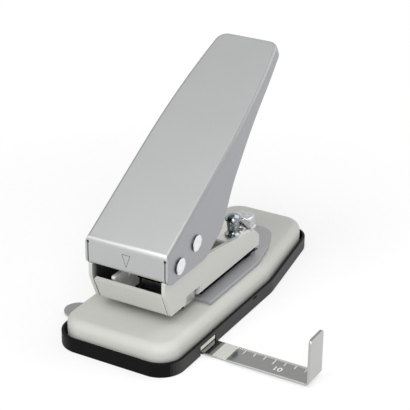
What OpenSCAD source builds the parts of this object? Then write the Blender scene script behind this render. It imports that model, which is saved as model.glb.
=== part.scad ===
// Slot punch: a hand lever drives a slot blade through a card that lies on the base.
// Origin at the middle of the base on the table, +Z up, +Y to the rear, +X to the gauge stop.

/* [Base] */
// Length of the base
base_l = 151.2; // [140:0.2:170]
// Width of the base
base_w = 61.8; // [58:0.2:70]
// Place of the bend where the sides start to taper, from the middle
taper_y = 18.6; // [10:0.2:24]
// Width of the base at its rear end, measured to the sharp corner
tail_w = 45.1; // [42:0.1:50]
// Corner radius of the tray at the front
front_r = 12; // [8:0.5:13]
// Corner radius of the tray at the rear
tail_r = 11.5; // [7:0.5:13]
// Corner radius of the shell, measured on the tray's outline
shell_corner_r = 13; // [12:0.5:15]
// Height of the top of the base above the table
deck_z = 14.1; // [13:0.1:16]
// Thickness of the shell's sheet
shell_t = 1.2; // [0.8:0.1:1.6]
// Radius of the shell's rounded top edge
shell_r = 4; // [3:0.1:6]
// Step from the outline of the tray to the outline of the shell
shell_inset = 2.4; // [1.6:0.1:2.8]
// Height of the tray's rim
rim_z = 7; // [6:0.1:8]
// Thickness of the tray's wall
rim_w = 1.3; // [1:0.1:1.5]

/* [Frame] */
// Height of the card throat between base and frame
throat_h = 4.6; // [4:0.1:5]
// Thickness of the frame's sheet
frame_t = 1.8; // [1.4:0.1:2.2]
// Width of the frame over its walls
frame_w = 39.2; // [37:0.2:39.4]
// Rear end of the frame
frame_rear_y = 25.4; // [24:0.2:30]
// Height of the rear end of the walls above the deck
frame_rear_h = 16.4; // [14:0.1:18]
// Height of the walls above the deck where the lever hides them
frame_mid_h = 23.2; // [21:0.1:23.6]
// Height of the chin's top above the deck
chin_h = 16.4; // [14:0.1:19]

/* [Lever] */
// Place of the pivot along the base
pivot_y = -51.1; // [-53:0.1:-49]
// Height of the pivot above the deck
pivot_h = 28.8; // [28:0.1:31]
// Angle of the lever's top plate at rest
lever_angle = 30.35; // [28:0.05:32]
// Length of the lever's top plate
lever_l = 126.4; // [110:0.2:135]
// Width of the lever at its front
lever_w = 42; // [41.8:0.1:44]
// Width of the lever at its end, measured to the sharp corner
lever_end_w = 31.4; // [26:0.1:34]
// Thickness of the lever's sheet
lever_t = 1.1; // [0.9:0.1:1.2]
// Distance from the pivot up to the top plate
lever_rise = 11.7; // [11.5:0.1:13]
// Distance from the pivot forward to the face plate
lever_front = 10; // [10:0.1:11]
// Depth of the flange along the handle
handle_flange = 7.7; // [5:0.1:9]
// Diameter of the pivot rivet
rivet_d = 5; // [4:0.1:6]
// Diameter of the rivet heads
rivet_head_d = 9; // [7:0.1:9.4]

/* [Punch] */
// Length of the punched slot
slot_l = 14; // [12:0.1:15]
// Width of the punched slot
slot_w = 3; // [2:0.1:4]
// Distance from the pivot back to the drive pin
pin_reach = 14.1; // [13.5:0.1:15]
// Height of the drive pin above the pivot
pin_rise = 5; // [4:0.1:6]
// Diameter of the drive pin
pin_d = 4; // [3:0.1:4.4]
// Stroke of the punch
stroke = 6.4; // [6:0.1:6.6]
// Card room between die and guide
card_gap = 1.9; // [1.2:0.1:2.5]

/* [Gauges] */
// Width of the gauge strip
strip_w = 12.6; // [10:0.2:14]
// Thickness of the gauge strip
strip_t = 1.2; // [0.8:0.1:1.3]
// Distance from the slot's middle forward to the middle of the gauge strip
strip_ahead = 5.8; // [4:0.1:8]
// Outer face of the stop
stop_x = 83.6; // [70:0.2:90]
// Height of the stop's top above the table
stop_z = 23.3; // [15:0.1:28]
// Width of the depth plate
plate_w = 48.8; // [46:0.2:52]
// Distance from the slot's middle back to the card's rear stop
card_stop = 7.7; // [7:0.1:9]

/* [Hidden] */

// General
$fn = 48;
cut = 1;
tiny = 0.01;
slip = 0.1;
arc_steps = 6;
long_steps = 12;

// Base levels and places
front_y = -base_l / 2;
rear_y = base_l / 2;
skirt_z = 2.4;
floor_t = 1.4;
ledge_w = 0.8;
tray_edge = 0.3;
taper_r = 20;
latch_l = 3.6;
latch_h = 1;
latch_y = 0.8;
latch_z = 5.2;
latch_depth = 0.6;

// Gauge strip
strip_z = 0.9;
strip_tail = 5.7;
head_r = 7;
head_shift = 2.4;
stop_bend_r = 2.4;
stop_corner_r = 2;
notch_side = 0.5;
notch_top = 4.8;
guide_back = 1.7;
guide_l = 6;
guide_side = 1.6;
guide_under = 0.5;

// Frame
frame_z = deck_z + throat_h;
frame_in = frame_w / 2 - frame_t;
frame_floor = frame_z + frame_t;
pivot_z = deck_z + pivot_h;
ear_r = 8.3;
wall_back = 0.1;
ear_front_y = pivot_y - ear_r;
frame_front_y = pivot_y - lever_front + wall_back;
frame_front_r = 8;
frame_bend_r = 2.2;
slant_h = 13.4;
slant_run = 5.8;
rear_foot_r = 0.6;
rear_low_r = 2.4;
rear_top_r = 3;
rear_low_h = 11;
rear_run = 5.8;
top_fall_y = -25;
top_fall_h = 22.4;
top_fall_r = 6;
ear_rear_r = 1.5;
chin_gap = 0.4;
chin_r = 3.4;
slit_l = 3;

// Punch guide and die
punch_y = pivot_y + pin_reach;
strip_y = punch_y - strip_ahead;
guide_half = 5.8;
guide_side_x = 17.6;
guide_z = deck_z + card_gap;
guide_h = 7.4;
guide_flange = 3.4;
guide_round = 2;
notch_half = 6;
notch_h = 4.9;
die_l = 24;
die_b = 13;
die_rim = 3;
die_h = 5.1;
blade_fit = 0.04;
die_fit = 0.15;

// Riser, bridge and bolts
riser_w = 16;
riser_front_y = -14;
bridge_z = 30.3;
bridge_t = 1.6;
bridge_front_y = 0.6;
bridge_rear_gap = 0.2;
lip_drop = 3.4;
lip_r = 2.2;
bolt_x = 13.8;
bolt_inset = 4.5;
bolt_y = frame_rear_y - bolt_inset;
bolt_d = 5;
bolt_fit = 0.1;
washer_d = 7.6;
washer_t = 1;
bolt_flat = 9;
bolt_head_h = 4.8;
bolt_dome = 0.5;
nut_flat = 8;
nut_h = 4;
bolt_tail = 1.2;
spacer_d = 7.2;
sleeve_d = 7.6;

// Depth plate
plate_t = 1.9;
plate_float = 0.1;
plate_front_y = punch_y + card_stop;
plate_side_l = 45.5;
plate_back = 4;
plate_forward = 2;
tongue_w1 = 42.4;
tongue_behind = 6.5;
tongue_y = frame_rear_y + tongue_behind;
tongue_w2 = 28;
tongue_tip = 18.4;
plate_corner_r = 1;
tongue_r1 = 16;
tongue_r2 = 24;
tongue_r3 = 9;

// Thumbscrew
thumb_x = 13.8;
thumb_y = 9.4;
thumb_d = 7.6;
thumb_neck_d = 5;
thumb_body_d = 6.2;
thumb_flange_h = 1.8;
thumb_neck_h = 1;
thumb_body_h = 5;
thumb_cap_h = 3.4;
thumb_cap_d = 7.8;
thumb_cap_rim = 0.6;
thumb_cap_step = 15;
shank_d = 4;
shank_fit = 0.05;
bush_d = 7.6;

// Lever
lever_cos = cos(lever_angle);
lever_sin = sin(lever_angle);
lever_top_z = pivot_z + (lever_rise - lever_front * lever_sin) / lever_cos;
face_y = pivot_y - lever_front;
face_half = 20.6;
face_h = 12;
face_gap = 0.4;
lever_bend_r = 1.8;
lever_front_r = 3.6;
flange_drop = 6.3;
flange_low_y = 22.8;
flange_heel_y = 37.3;
flange_heel_z = 2.4;
flange_knee_y = 47.2;
flange_knee_z = 21.4;
flange_knee_angle = 50;
flange_front_r = 4;
flange_toe_r = 12;
flange_heel_r = 5;
flange_knee_r = 50;
flange_hollow_r = 110;
flange_front = 1.8;
side_curve_s = 85.3;
side_curve_r = 460;
end_r = 6;
end_lip = 5.2;
head_h = 1.6;
head_rim = 0.5;
head_air = 0.1;
pivot_fit = 0.05;

// Carriage and springs
cheek_w = 12;
cheek_l = 11;
cheek_r = 3;
foot_w = 17;
foot_l = 6;
foot_h = 4.8;
foot_gap = 0.4;
stroke_rest = 0.2;
carriage_z = 26.2;
arm_z = 40;
arm_t = 4;
arm_l = 8;
arm_half = 17;
carriage_top = 4.2;
pin_slot_fit = 0.06;
pin_slot_travel = 1.1;
blade_low = 1;
spring_x = 13.9;
spring_r = 2.3;
wire_d = 0.9;
spring_turns = 6;
spring_rings = 8;
spring_sides = 6;
spring_seat = 0.05;

// Window bracket
bracket_x = 9;
bracket_t = 1.5;
bracket_foot = 5;
bracket_h = 11.3;
bracket_front = 1;
bracket_hole_d = 2.4;
bracket_hole_y = 7.7;
bracket_hole_h = 7.7;
bracket_corner_r = 1;

// Outline helpers: a corner is [x, y, radius]

function unit(v) = v / norm(v);

function flat(p) = [p[0], p[1]];

function corner_arc(before, at, after, r, steps) =
    let (
        u = unit(before - at),
        v = unit(after - at),
        half = acos(max(-1, min(1, u * v))) / 2,
        reach = r / tan(half),
        centre = at + unit(u + v) * r / sin(half),
        a = at + u * reach - centre,
        b = at + v * reach - centre,
        start = atan2(a[1], a[0]),
        turn = atan2(b[1], b[0]) - start,
        sweep = turn > 180 ? turn - 360 : turn < -180 ? turn + 360 : turn
    )
    [for (i = [0:steps]) let (t = start + sweep * i / steps) centre + r * [cos(t), sin(t)]];

function rounded(corners, steps = arc_steps) =
    let (n = len(corners))
    [
        for (i = [0:n - 1])
            let (at = corners[i], before = corners[(i + n - 1) % n], after = corners[(i + 1) % n])
            each at[2] > 0
                ? corner_arc(flat(before), flat(at), flat(after), at[2], steps)
                : [flat(at)]
    ];

// Moves every edge of a closed outline inward by d; the corners run counter-clockwise
function inset(corners, d) =
    let (n = len(corners))
    [
        for (i = [0:n - 1])
            let (
                at = flat(corners[i]),
                e = unit(at - flat(corners[(i + n - 1) % n])),
                f = unit(flat(corners[(i + 1) % n]) - at),
                a = [-e[1], e[0]],
                b = [-f[1], f[0]],
                p = at + d * (a + b) / (1 + a * b)
            )
            [p[0], p[1], max(corners[i][2] - d, tiny)]
    ];

// Closed outline of a bent sheet: the path is one face, the other lies t to its left
function sheet(path, t) =
    let (
        n = len(path),
        other = [
            for (i = [0:n - 1])
                let (
                    at = flat(path[i]),
                    e = unit(i > 0 ? at - flat(path[i - 1]) : flat(path[1]) - at),
                    f = unit(i < n - 1 ? flat(path[i + 1]) - at : at - flat(path[i - 1])),
                    a = [-e[1], e[0]],
                    b = [-f[1], f[0]],
                    side = e[0] * f[1] - e[1] * f[0],
                    p = at + t * (a + b) / (1 + a * b)
                )
                [p[0], p[1], path[i][2] > 0 ? path[i][2] - sign(side) * t : 0]
        ]
    )
    concat(path, [for (i = [n - 1:-1:0]) other[i]]);

// Solid helpers

module upright(points, low, high) {
    translate([0, 0, low])
        linear_extrude(high - low)
            polygon(points);
}

module across(points, left, right) {
    translate([left, 0, 0])
        rotate([90, 0, 90])
            linear_extrude(right - left)
                polygon(points);
}

module along(points, front, rear) {
    translate([0, rear, 0])
        rotate([90, 0, 0])
            linear_extrude(rear - front)
                polygon(points);
}

module box(low, high) {
    translate(low)
        cube(high - low);
}

module rod(from, d, h) {
    translate(from)
        cylinder(d = d, h = h);
}

module cross_rod(at, d, left, right) {
    translate([left, at[0], at[1]])
        rotate([0, 90, 0])
            cylinder(d = d, h = right - left);
}

module slot_bar(at, l, w, low, high) {
    reach = (l - w) / 2;
    translate([at[0], at[1], low]) {
        for (side = [-1, 1])
            translate([side * reach, 0, 0])
                cylinder(d = w, h = high - low);
        translate([-reach, -w / 2, 0])
            cube([2 * reach, w, high - low]);
    }
}

// Skin through closed sections that all have the same number of points
module loft(sections) {
    n = len(sections[0]);
    m = len(sections);
    polyhedron(
        points = [for (s = sections) each s],
        faces = concat(
            [[for (i = [0:n - 1]) i]],
            [for (j = [0:m - 2]) for (i = [0:n - 1]) for (half = [0, 1])
                let (k = (i + 1) % n)
                half == 0
                    ? [j * n + i, (j + 1) * n + i, (j + 1) * n + k]
                    : [j * n + i, (j + 1) * n + k, j * n + k]],
            [[for (i = [n - 1:-1:0]) (m - 1) * n + i]]
        )
    );
}

function level(points, z) = [for (p = points) [p[0], p[1], z]];

// Base outline

function base_corners(front, tail) = [
    [-base_w / 2, front_y, front],
    [base_w / 2, front_y, front],
    [base_w / 2, taper_y, taper_r],
    [tail_w / 2, rear_y, tail],
    [-tail_w / 2, rear_y, tail],
    [-base_w / 2, taper_y, taper_r]
];

function tray_outline(d) = rounded(inset(base_corners(front_r, tail_r), d));

function shell_outline(d) = rounded(inset(base_corners(shell_corner_r, shell_corner_r), d));

// A closed form with the shell's outline and a rounded top edge
module dome(d, r, low, high) {
    loft(concat(
        [level(shell_outline(d), low)],
        [for (i = [0:arc_steps])
            let (a = 90 * i / arc_steps)
            level(shell_outline(d + r * (1 - cos(a))), high - r * (1 - sin(a)))]
    ));
}

module base_shell() {
    color("#C8C9C3")
        difference() {
            dome(shell_inset, shell_r, skirt_z, deck_z);
            dome(shell_inset + shell_t, shell_r - shell_t, skirt_z - cut, deck_z - shell_t);
            die_block(deck_z - die_h, deck_z + cut, 0);
            for (side = [-1, 1])
                bolt_hole(side, deck_z - shell_t, deck_z);
        }
}

module base_tray() {
    inner = base_w / 2 - shell_inset - shell_t - slip;
    room = strip_w / 2 + slip + guide_side;
    color("#1C1C1E")
        difference() {
            union() {
                difference() {
                    loft([
                        level(tray_outline(tray_edge), 0),
                        level(tray_outline(0), tray_edge),
                        level(tray_outline(0), rim_z - tray_edge),
                        level(tray_outline(tray_edge), rim_z)
                    ]);
                    upright(tray_outline(rim_w), floor_t, rim_z + cut);
                }
                difference() {
                    upright(tray_outline(rim_w - tiny), floor_t - tiny, skirt_z);
                    upright(shell_outline(shell_inset + shell_t + ledge_w), 0, skirt_z + cut);
                }
                box(
                    [-inner, strip_y - room - floor_t, floor_t - tiny],
                    [inner, strip_y + room + floor_t, skirt_z + floor_t]
                );
            }
            box([-inner - tiny, strip_y - room, -cut], [inner + tiny, strip_y + room, skirt_z]);
            for (side = [-1, 1]) {
                notch_cut(side, inner);
                latch_cut(side);
            }
        }
}

module bolt_hole(side, low, high) {
    rod([side * bolt_x, bolt_y, low - cut], bolt_d + 2 * bolt_fit, high - low + 2 * cut);
}

module notch_cut(side, inner) {
    half = strip_w / 2 + notch_side;
    mirror([side < 0 ? 1 : 0, 0, 0])
        box([inner, strip_y - half, -cut], [base_w / 2 + cut, strip_y + half, notch_top]);
}

module latch_cut(side) {
    mirror([side < 0 ? 1 : 0, 0, 0])
        box(
            [base_w / 2 - latch_depth, latch_y - latch_l / 2, latch_z],
            [base_w / 2 + cut, latch_y + latch_l / 2, latch_z + latch_h]
        );
}

module gauge_guide(side) {
    half = strip_w / 2 + slip;
    outer = base_w / 2 - shell_inset - shell_t - slip - guide_back;
    left = side > 0 ? outer - guide_l : -outer;
    color("#E2E0D8")
        difference() {
            box(
                [left, strip_y - half - guide_side, strip_z - slip - guide_under],
                [left + guide_l, strip_y + half + guide_side, skirt_z]
            );
            box(
                [left - cut, strip_y - half, strip_z - slip],
                [left + guide_l + cut, strip_y + half, strip_z + strip_t + slip]
            );
        }
}

// Die, riser and guide

module die_block(low, high, grow) {
    box(
        [-die_l / 2 - grow, punch_y - die_b / 2 - grow, low],
        [die_l / 2 + grow, punch_y + die_b / 2 + grow, high]
    );
}

module die_plate() {
    color("#8E9092")
        difference() {
            union() {
                die_block(deck_z - die_h, deck_z, 0);
                die_block(deck_z - die_h, deck_z - shell_t, die_rim);
            }
            slot_bar(
                [0, punch_y],
                slot_l + 2 * die_fit,
                slot_w + 2 * die_fit,
                deck_z - die_h - cut,
                deck_z + cut
            );
        }
}

module riser_block() {
    color("#77787A")
        box([-riser_w / 2, riser_front_y, deck_z], [riser_w / 2, frame_rear_y, frame_z]);
}

module punch_guide() {
    channel = foot_w / 2 + foot_gap;
    outline = rounded([
        [punch_y - guide_half, guide_z + guide_h, 0],
        [punch_y - guide_half, guide_z, guide_round / 2],
        [punch_y + guide_half, guide_z, guide_round],
        [punch_y + guide_half, guide_z + guide_h, 0]
    ]);
    color("#9EA0A2")
        difference() {
            union() {
                across(outline, -guide_side_x, guide_side_x);
                box(
                    [-frame_in + slip, punch_y - guide_half - guide_flange, frame_floor],
                    [frame_in - slip, punch_y + guide_half + guide_flange, guide_z + guide_h]
                );
            }
            box(
                [-channel, punch_y - guide_half - guide_flange - cut, carriage_z - stroke - stroke_rest],
                [channel, punch_y + guide_half + guide_flange + cut, guide_z + guide_h + cut]
            );
            slot_bar(
                [0, punch_y],
                slot_l + 2 * blade_fit,
                slot_w + 2 * blade_fit,
                guide_z - cut,
                guide_z + guide_h + cut
            );
        }
}

// Frame

frame_side = [
    [ear_front_y, pivot_z, 0],
    [ear_front_y, lever_top_z - face_h - face_gap, 0],
    [frame_front_y, lever_top_z - face_h - face_gap, 0],
    [frame_front_y, frame_z + slant_h, frame_front_r],
    [frame_front_y + slant_run, frame_z, frame_bend_r],
    [frame_rear_y, frame_z, rear_foot_r],
    [frame_rear_y, deck_z + rear_low_h, rear_low_r],
    [frame_rear_y - rear_run, deck_z + frame_rear_h - tiny, rear_top_r],
    [top_fall_y, deck_z + top_fall_h, top_fall_r],
    [pivot_y + ear_r, deck_z + frame_mid_h, ear_rear_r],
    [pivot_y + ear_r, pivot_z, 0]
];

module frame_channel() {
    half = frame_w / 2;
    section = rounded([
        [-half, pivot_z + ear_r + cut, 0],
        [-half, frame_z, frame_bend_r],
        [half, frame_z, frame_bend_r],
        [half, pivot_z + ear_r + cut, 0],
        [frame_in, pivot_z + ear_r + cut, 0],
        [frame_in, frame_floor, frame_bend_r - frame_t],
        [-frame_in, frame_floor, frame_bend_r - frame_t],
        [-frame_in, pivot_z + ear_r + cut, 0]
    ]);
    chin_y = frame_front_y + slant_run;
    color("#C8C9C3")
        difference() {
            union() {
                intersection() {
                    along(section, frame_front_y - cut, frame_rear_y + cut);
                    union() {
                        across(rounded(frame_side), -half - cut, half + cut);
                        cross_rod([pivot_y, pivot_z], 2 * ear_r, -half - cut, half + cut);
                    }
                    box(
                        [-half - cut, frame_front_y - cut, frame_z - cut],
                        [half + cut, frame_rear_y + cut, pivot_z + ear_r + cut]
                    );
                }
            }
            box(
                [-frame_in - tiny, frame_front_y - cut, frame_z - cut],
                [frame_in + tiny, chin_y + slit_l, frame_floor + frame_bend_r]
            );
            for (side = [-1, 1])
                side_notch(side);
            box(
                [-frame_in - tiny, punch_y - notch_half, frame_z - cut],
                [frame_in + tiny, punch_y + notch_half, frame_floor + cut]
            );
            cross_rod([pivot_y, pivot_z], rivet_d, -half - cut, half + cut);
            for (side = [-1, 1])
                bolt_hole(side, frame_z, frame_floor);
            rod([thumb_x, thumb_y, frame_z - cut], shank_d + 2 * bolt_fit, frame_t + 2 * cut);
        }
    color("#C8C9C3")
        chin();
}

module side_notch(side) {
    mirror([side < 0 ? 1 : 0, 0, 0])
        box(
            [frame_in - cut, punch_y - notch_half, frame_z - cut],
            [frame_w / 2 + cut, punch_y + notch_half, frame_z + notch_h]
        );
}

// The floor's front end, bent up between the walls
module chin() {
    start_y = frame_front_y + slant_run + slit_l;
    rise = chin_h - throat_h;
    run = slant_run * rise / slant_h;
    path = [
        [frame_front_y + slant_run - run, frame_z + rise, 0],
        [frame_front_y + slant_run, frame_z, chin_r],
        [start_y + tiny, frame_z, 0]
    ];
    across(rounded(sheet(path, frame_t)), -frame_in + chin_gap, frame_in - chin_gap);
}

module pivot_rivet() {
    color("#C9CACC") {
        cross_rod([pivot_y, pivot_z], rivet_d, -lever_w / 2 - head_air, lever_w / 2 + head_air);
        for (side = [-1, 1])
            rivet_head(pivot_y, pivot_z, side, head_air);
    }
}

module rivet_head(y, z, side, air) {
    reach = rivet_head_d / 2;
    crown = head_h - head_rim;
    ball = (reach * reach + crown * crown) / (2 * crown);
    mirror([side < 0 ? 1 : 0, 0, 0])
        translate([lever_w / 2 + air, y, z])
            rotate([0, 90, 0])
                intersection() {
                    cylinder(d = rivet_head_d, h = head_h);
                    translate([0, 0, head_h - ball])
                        sphere(r = ball);
                }
}

// Bridge, bolts and their sleeves

module bridge_plate() {
    front = bridge_front_y;
    rear = frame_rear_y - bridge_rear_gap;
    path = [
        [rear, bridge_z, 0],
        [front, bridge_z, lip_r],
        [front, bridge_z - lip_drop, 0]
    ];
    color("#E6E7E8")
        difference() {
            across(rounded(sheet(path, bridge_t)), -frame_in + slip, frame_in - slip);
            for (side = [-1, 1])
                bolt_hole(side, bridge_z - bridge_t, bridge_z);
            rod(
                [thumb_x, thumb_y, bridge_z - bridge_t - cut],
                shank_d + 2 * shank_fit,
                bridge_t + 2 * cut
            );
        }
}

module tube(x, y, d, bore, low, high) {
    difference() {
        rod([x, y, low], d, high - low);
        rod([x, y, low - cut], bore, high - low + 2 * cut);
    }
}

module spacer(side) {
    color("#8A8B8D")
        tube(side * bolt_x, bolt_y, spacer_d, bolt_d + 2 * bolt_fit, deck_z, frame_z);
}

module sleeve(side) {
    color("#8A8B8D")
        tube(side * bolt_x, bolt_y, sleeve_d, bolt_d + 2 * bolt_fit, frame_floor, bridge_z - bridge_t);
}

module washer(side) {
    color("#C4C5C6")
        tube(side * bolt_x, bolt_y, washer_d, bolt_d + 2 * bolt_fit, bridge_z, bridge_z + washer_t);
}

module hexagon(x, y, flat_w, low, high) {
    translate([x, y, low])
        cylinder(d = flat_w / cos(30), h = high - low, $fn = 6);
}

module hex_bolt(side) {
    seat = bridge_z + washer_t;
    tail = deck_z - shell_t - nut_h - bolt_tail;
    color("#D2D3D4") {
        rod([side * bolt_x, bolt_y, tail], bolt_d, seat - tail + tiny);
        intersection() {
            hexagon(side * bolt_x, bolt_y, bolt_flat, seat, seat + bolt_head_h);
            translate([side * bolt_x, bolt_y, seat])
                cylinder(
                    d1 = bolt_flat / cos(30) + bolt_head_h,
                    d2 = bolt_flat / cos(30) - bolt_dome,
                    h = bolt_head_h
                );
        }
    }
}

module hex_nut(side) {
    high = deck_z - shell_t;
    color("#B4B5B6")
        difference() {
            hexagon(side * bolt_x, bolt_y, nut_flat, high - nut_h, high);
            rod([side * bolt_x, bolt_y, high - nut_h - cut], bolt_d, nut_h + 2 * cut);
        }
}

module clamp_bush() {
    color("#A9AAAC")
        tube(thumb_x, thumb_y, bush_d, shank_d + 2 * shank_fit, frame_floor, bridge_z - bridge_t);
}

module window_bracket() {
    rise = bracket_h;
    slope = slant_run / slant_h;
    low = frame_floor;
    front = frame_front_y + slant_run + slit_l + bracket_front;
    rear = punch_y;
    outline = rounded([
        [front, low, 0],
        [rear, low, 0],
        [rear, low + rise, bracket_corner_r],
        [front - rise * slope - bracket_front, low + rise, bracket_corner_r],
        [front - bracket_front, low + frame_t, 0]
    ]);
    color("#C9CACB")
        difference() {
            union() {
                across(outline, -bracket_x - bracket_t, -bracket_x);
                box(
                    [-bracket_x - bracket_foot, front, low],
                    [-bracket_x, punch_y - guide_half - guide_flange - slip, low + bracket_t]
                );
            }
            cross_rod(
                [rear - bracket_hole_y, low + bracket_hole_h],
                bracket_hole_d,
                -bracket_x - bracket_t - cut,
                -bracket_x + cut
            );
            box(
                [-bracket_x - bracket_t - cut, punch_y - guide_half - guide_flange - slip, low - cut],
                [-bracket_x + cut, rear + cut, guide_z + guide_h + slip]
            );
        }
}

// Lever

// Plan of the top plate, seen square to it: s runs along the slope from the face plate
lever_plan = [
    [-lever_w / 2, -lever_l / 4, 0],
    [lever_w / 2, -lever_l / 4, 0],
    [lever_w / 2, side_curve_s, side_curve_r],
    [lever_end_w / 2, lever_l, end_r],
    [-lever_end_w / 2, lever_l, end_r],
    [-lever_w / 2, side_curve_s, side_curve_r]
];

// A bar square to the top plate, closed by a rounded upper edge
module lever_bar(d, r, deep) {
    rows = concat(
        [[0, -deep]],
        [for (i = [0:arc_steps / 2])
            let (a = 180 * i / arc_steps)
            [r * (1 - cos(a)), -r * (1 - sin(a)) - d]]
    );
    translate([0, face_y, lever_top_z])
        rotate([lever_angle, 0, 0])
            loft([for (row = rows) level(rounded(inset(lever_plan, d + row[0]), long_steps), row[1])]);
}

// Side view of the lever, with the lower edge of the flanges
function lever_side(d) =
    let (
        end_y = face_y + lever_l * lever_cos,
        hollow_z = lever_top_z - handle_flange / lever_cos,
        slope = lever_sin / lever_cos,
        knee = [pivot_y + flange_knee_y, pivot_z + flange_knee_z],
        knee_slope = tan(flange_knee_angle),
        meet = (knee[1] - knee_slope * (knee[0] - face_y) - hollow_z) / (slope - knee_slope),
        far = end_y + lever_l * lever_sin
    )
    [
        [face_y + d, pivot_z - flange_drop, flange_front_r],
        [pivot_y + flange_low_y, pivot_z - flange_drop, flange_toe_r],
        [pivot_y + flange_heel_y, pivot_z + flange_heel_z, flange_heel_r],
        [knee[0], knee[1], flange_knee_r],
        [face_y + meet, hollow_z + slope * meet, flange_hollow_r],
        [end_y, hollow_z + slope * (end_y - face_y) + (handle_flange - end_lip) / lever_cos, 0],
        [far, lever_top_z + slope * (far - face_y) - d / lever_cos, 0],
        [face_y + d, lever_top_z + d * slope - d / lever_cos, max(lever_front_r - d, tiny)]
    ];

module lever() {
    face_low = lever_top_z - face_h;
    slit = lever_w / 2 - lever_t;
    color("#BDBFBE")
        difference() {
            intersection() {
                lever_bar(0, lever_bend_r, lever_l);
                across(rounded(lever_side(0)), -lever_w, lever_w);
            }
            intersection() {
                lever_bar(lever_t, lever_bend_r - lever_t, lever_l + cut);
                across(lever_hollow(), -lever_w, lever_w);
            }
            box([-lever_w, face_y - cut, pivot_z - lever_w], [lever_w, face_y + flange_front, face_low]);
            for (side = [-1, 1])
                mirror([side < 0 ? 1 : 0, 0, 0]) {
                    box(
                        [face_half, face_y - cut, face_low - cut],
                        [lever_w, face_y + flange_front, lever_top_z - lever_front_r / 2]
                    );
                    box(
                        [slit - tiny, face_y + lever_t, face_low - cut],
                        [lever_w, face_y + flange_front, lever_top_z - lever_front_r / 2]
                    );
                }
            cross_rod([pivot_y, pivot_z], rivet_d + 2 * pivot_fit, -lever_w, lever_w);
            cross_rod([pivot_y + pin_reach, pivot_z + pin_rise], pin_d, -lever_w, lever_w);
        }
}

// Side view of the room inside the lever
function lever_hollow() =
    let (
        slope = lever_sin / lever_cos,
        far = face_y + 2 * lever_l,
        top = lever_top_z - lever_t / lever_cos
    )
    rounded([
        [face_y + lever_t, pivot_z - lever_w, 0],
        [far, pivot_z - lever_w, 0],
        [far, top + slope * (far - face_y), 0],
        [face_y + lever_t, top + slope * lever_t, lever_front_r - lever_t]
    ]);

module drive_pin() {
    y = pivot_y + pin_reach;
    z = pivot_z + pin_rise;
    color("#C9CACC") {
        cross_rod([y, z], pin_d, -lever_w / 2, lever_w / 2);
        for (side = [-1, 1])
            rivet_head(y, z, side, 0);
    }
}

// Punch

module punch_carriage() {
    pin_z = pivot_z + pin_rise;
    top = pin_z + carriage_top;
    slot_r = pin_d / 2 + pin_slot_fit;
    color("#2A2A2C")
        difference() {
            union() {
                box(
                    [-foot_w / 2, punch_y - foot_l / 2, carriage_z],
                    [foot_w / 2, punch_y + foot_l / 2, carriage_z + foot_h]
                );
                box(
                    [-cheek_w / 2, punch_y - cheek_l / 2, carriage_z],
                    [cheek_w / 2, punch_y + cheek_l / 2, arm_z + tiny]
                );
                box(
                    [-arm_half, punch_y - arm_l / 2, arm_z],
                    [arm_half, punch_y + arm_l / 2, arm_z + arm_t]
                );
                across(
                    rounded([
                        [punch_y - cheek_l / 2, arm_z, 0],
                        [punch_y + cheek_l / 2, arm_z, 0],
                        [punch_y + cheek_l / 2, top, cheek_r],
                        [punch_y - cheek_l / 2, top, cheek_r]
                    ]),
                    -cheek_w / 2,
                    cheek_w / 2
                );
            }
            for (shift = [0, pin_slot_travel])
                cross_rod([punch_y + shift, pin_z], 2 * slot_r, -cheek_w, cheek_w);
            box(
                [-cheek_w, punch_y, pin_z - slot_r],
                [cheek_w, punch_y + pin_slot_travel, pin_z + slot_r]
            );
            slot_bar([0, punch_y], slot_l, slot_w, carriage_z - cut, carriage_z + slot_w);
        }
}

module punch_blade() {
    color("#A4A6A8")
        slot_bar([0, punch_y], slot_l, slot_w, guide_z + blade_low, carriage_z + slot_w);
}

// Return springs

function spring_point(t, low, high) =
    let (
        z = low + wire_d / 2 + (high - low - wire_d) * t,
        a = 360 * spring_turns * t
    )
    [spring_r * cos(a), spring_r * sin(a), z];

function spring_path(low, high) =
    let (
        steps = spring_turns * spring_rings,
        first = spring_point(0, low, high),
        last = spring_point(1, low, high)
    )
    concat(
        [first - [0, wire_d, 0]],
        [for (i = [0:steps]) spring_point(i / steps, low, high)],
        [last + [0, wire_d, 0]]
    );

function ring(path, i) =
    let (
        n = len(path),
        ahead = unit(path[min(i + 1, n - 1)] - path[max(i - 1, 0)]),
        side = unit(cross([0, 0, 1], ahead)),
        lift = cross(ahead, side)
    )
    [for (k = [0:spring_sides - 1])
        let (a = 360 * k / spring_sides)
        path[i] + wire_d / 2 * (side * cos(a) + lift * sin(a))];

spring_low = guide_z + guide_h + spring_seat;
spring_high = arm_z - spring_seat;

function spring_gap(path) = min([
    for (i = [0:len(path) - 1])
        for (j = [i + spring_rings - 2:len(path) - 1])
            norm(path[i] - path[j]) - wire_d
]);

echo(str("least gap between the spring's turns: ", spring_gap(spring_path(spring_low, spring_high))));

module return_spring(side) {
    path = spring_path(spring_low, spring_high);
    color("#B9BBBD")
        translate([side * spring_x, punch_y, 0])
            loft([for (i = [len(path) - 1:-1:0]) ring(path, i)]);
}

// Gauges

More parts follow.
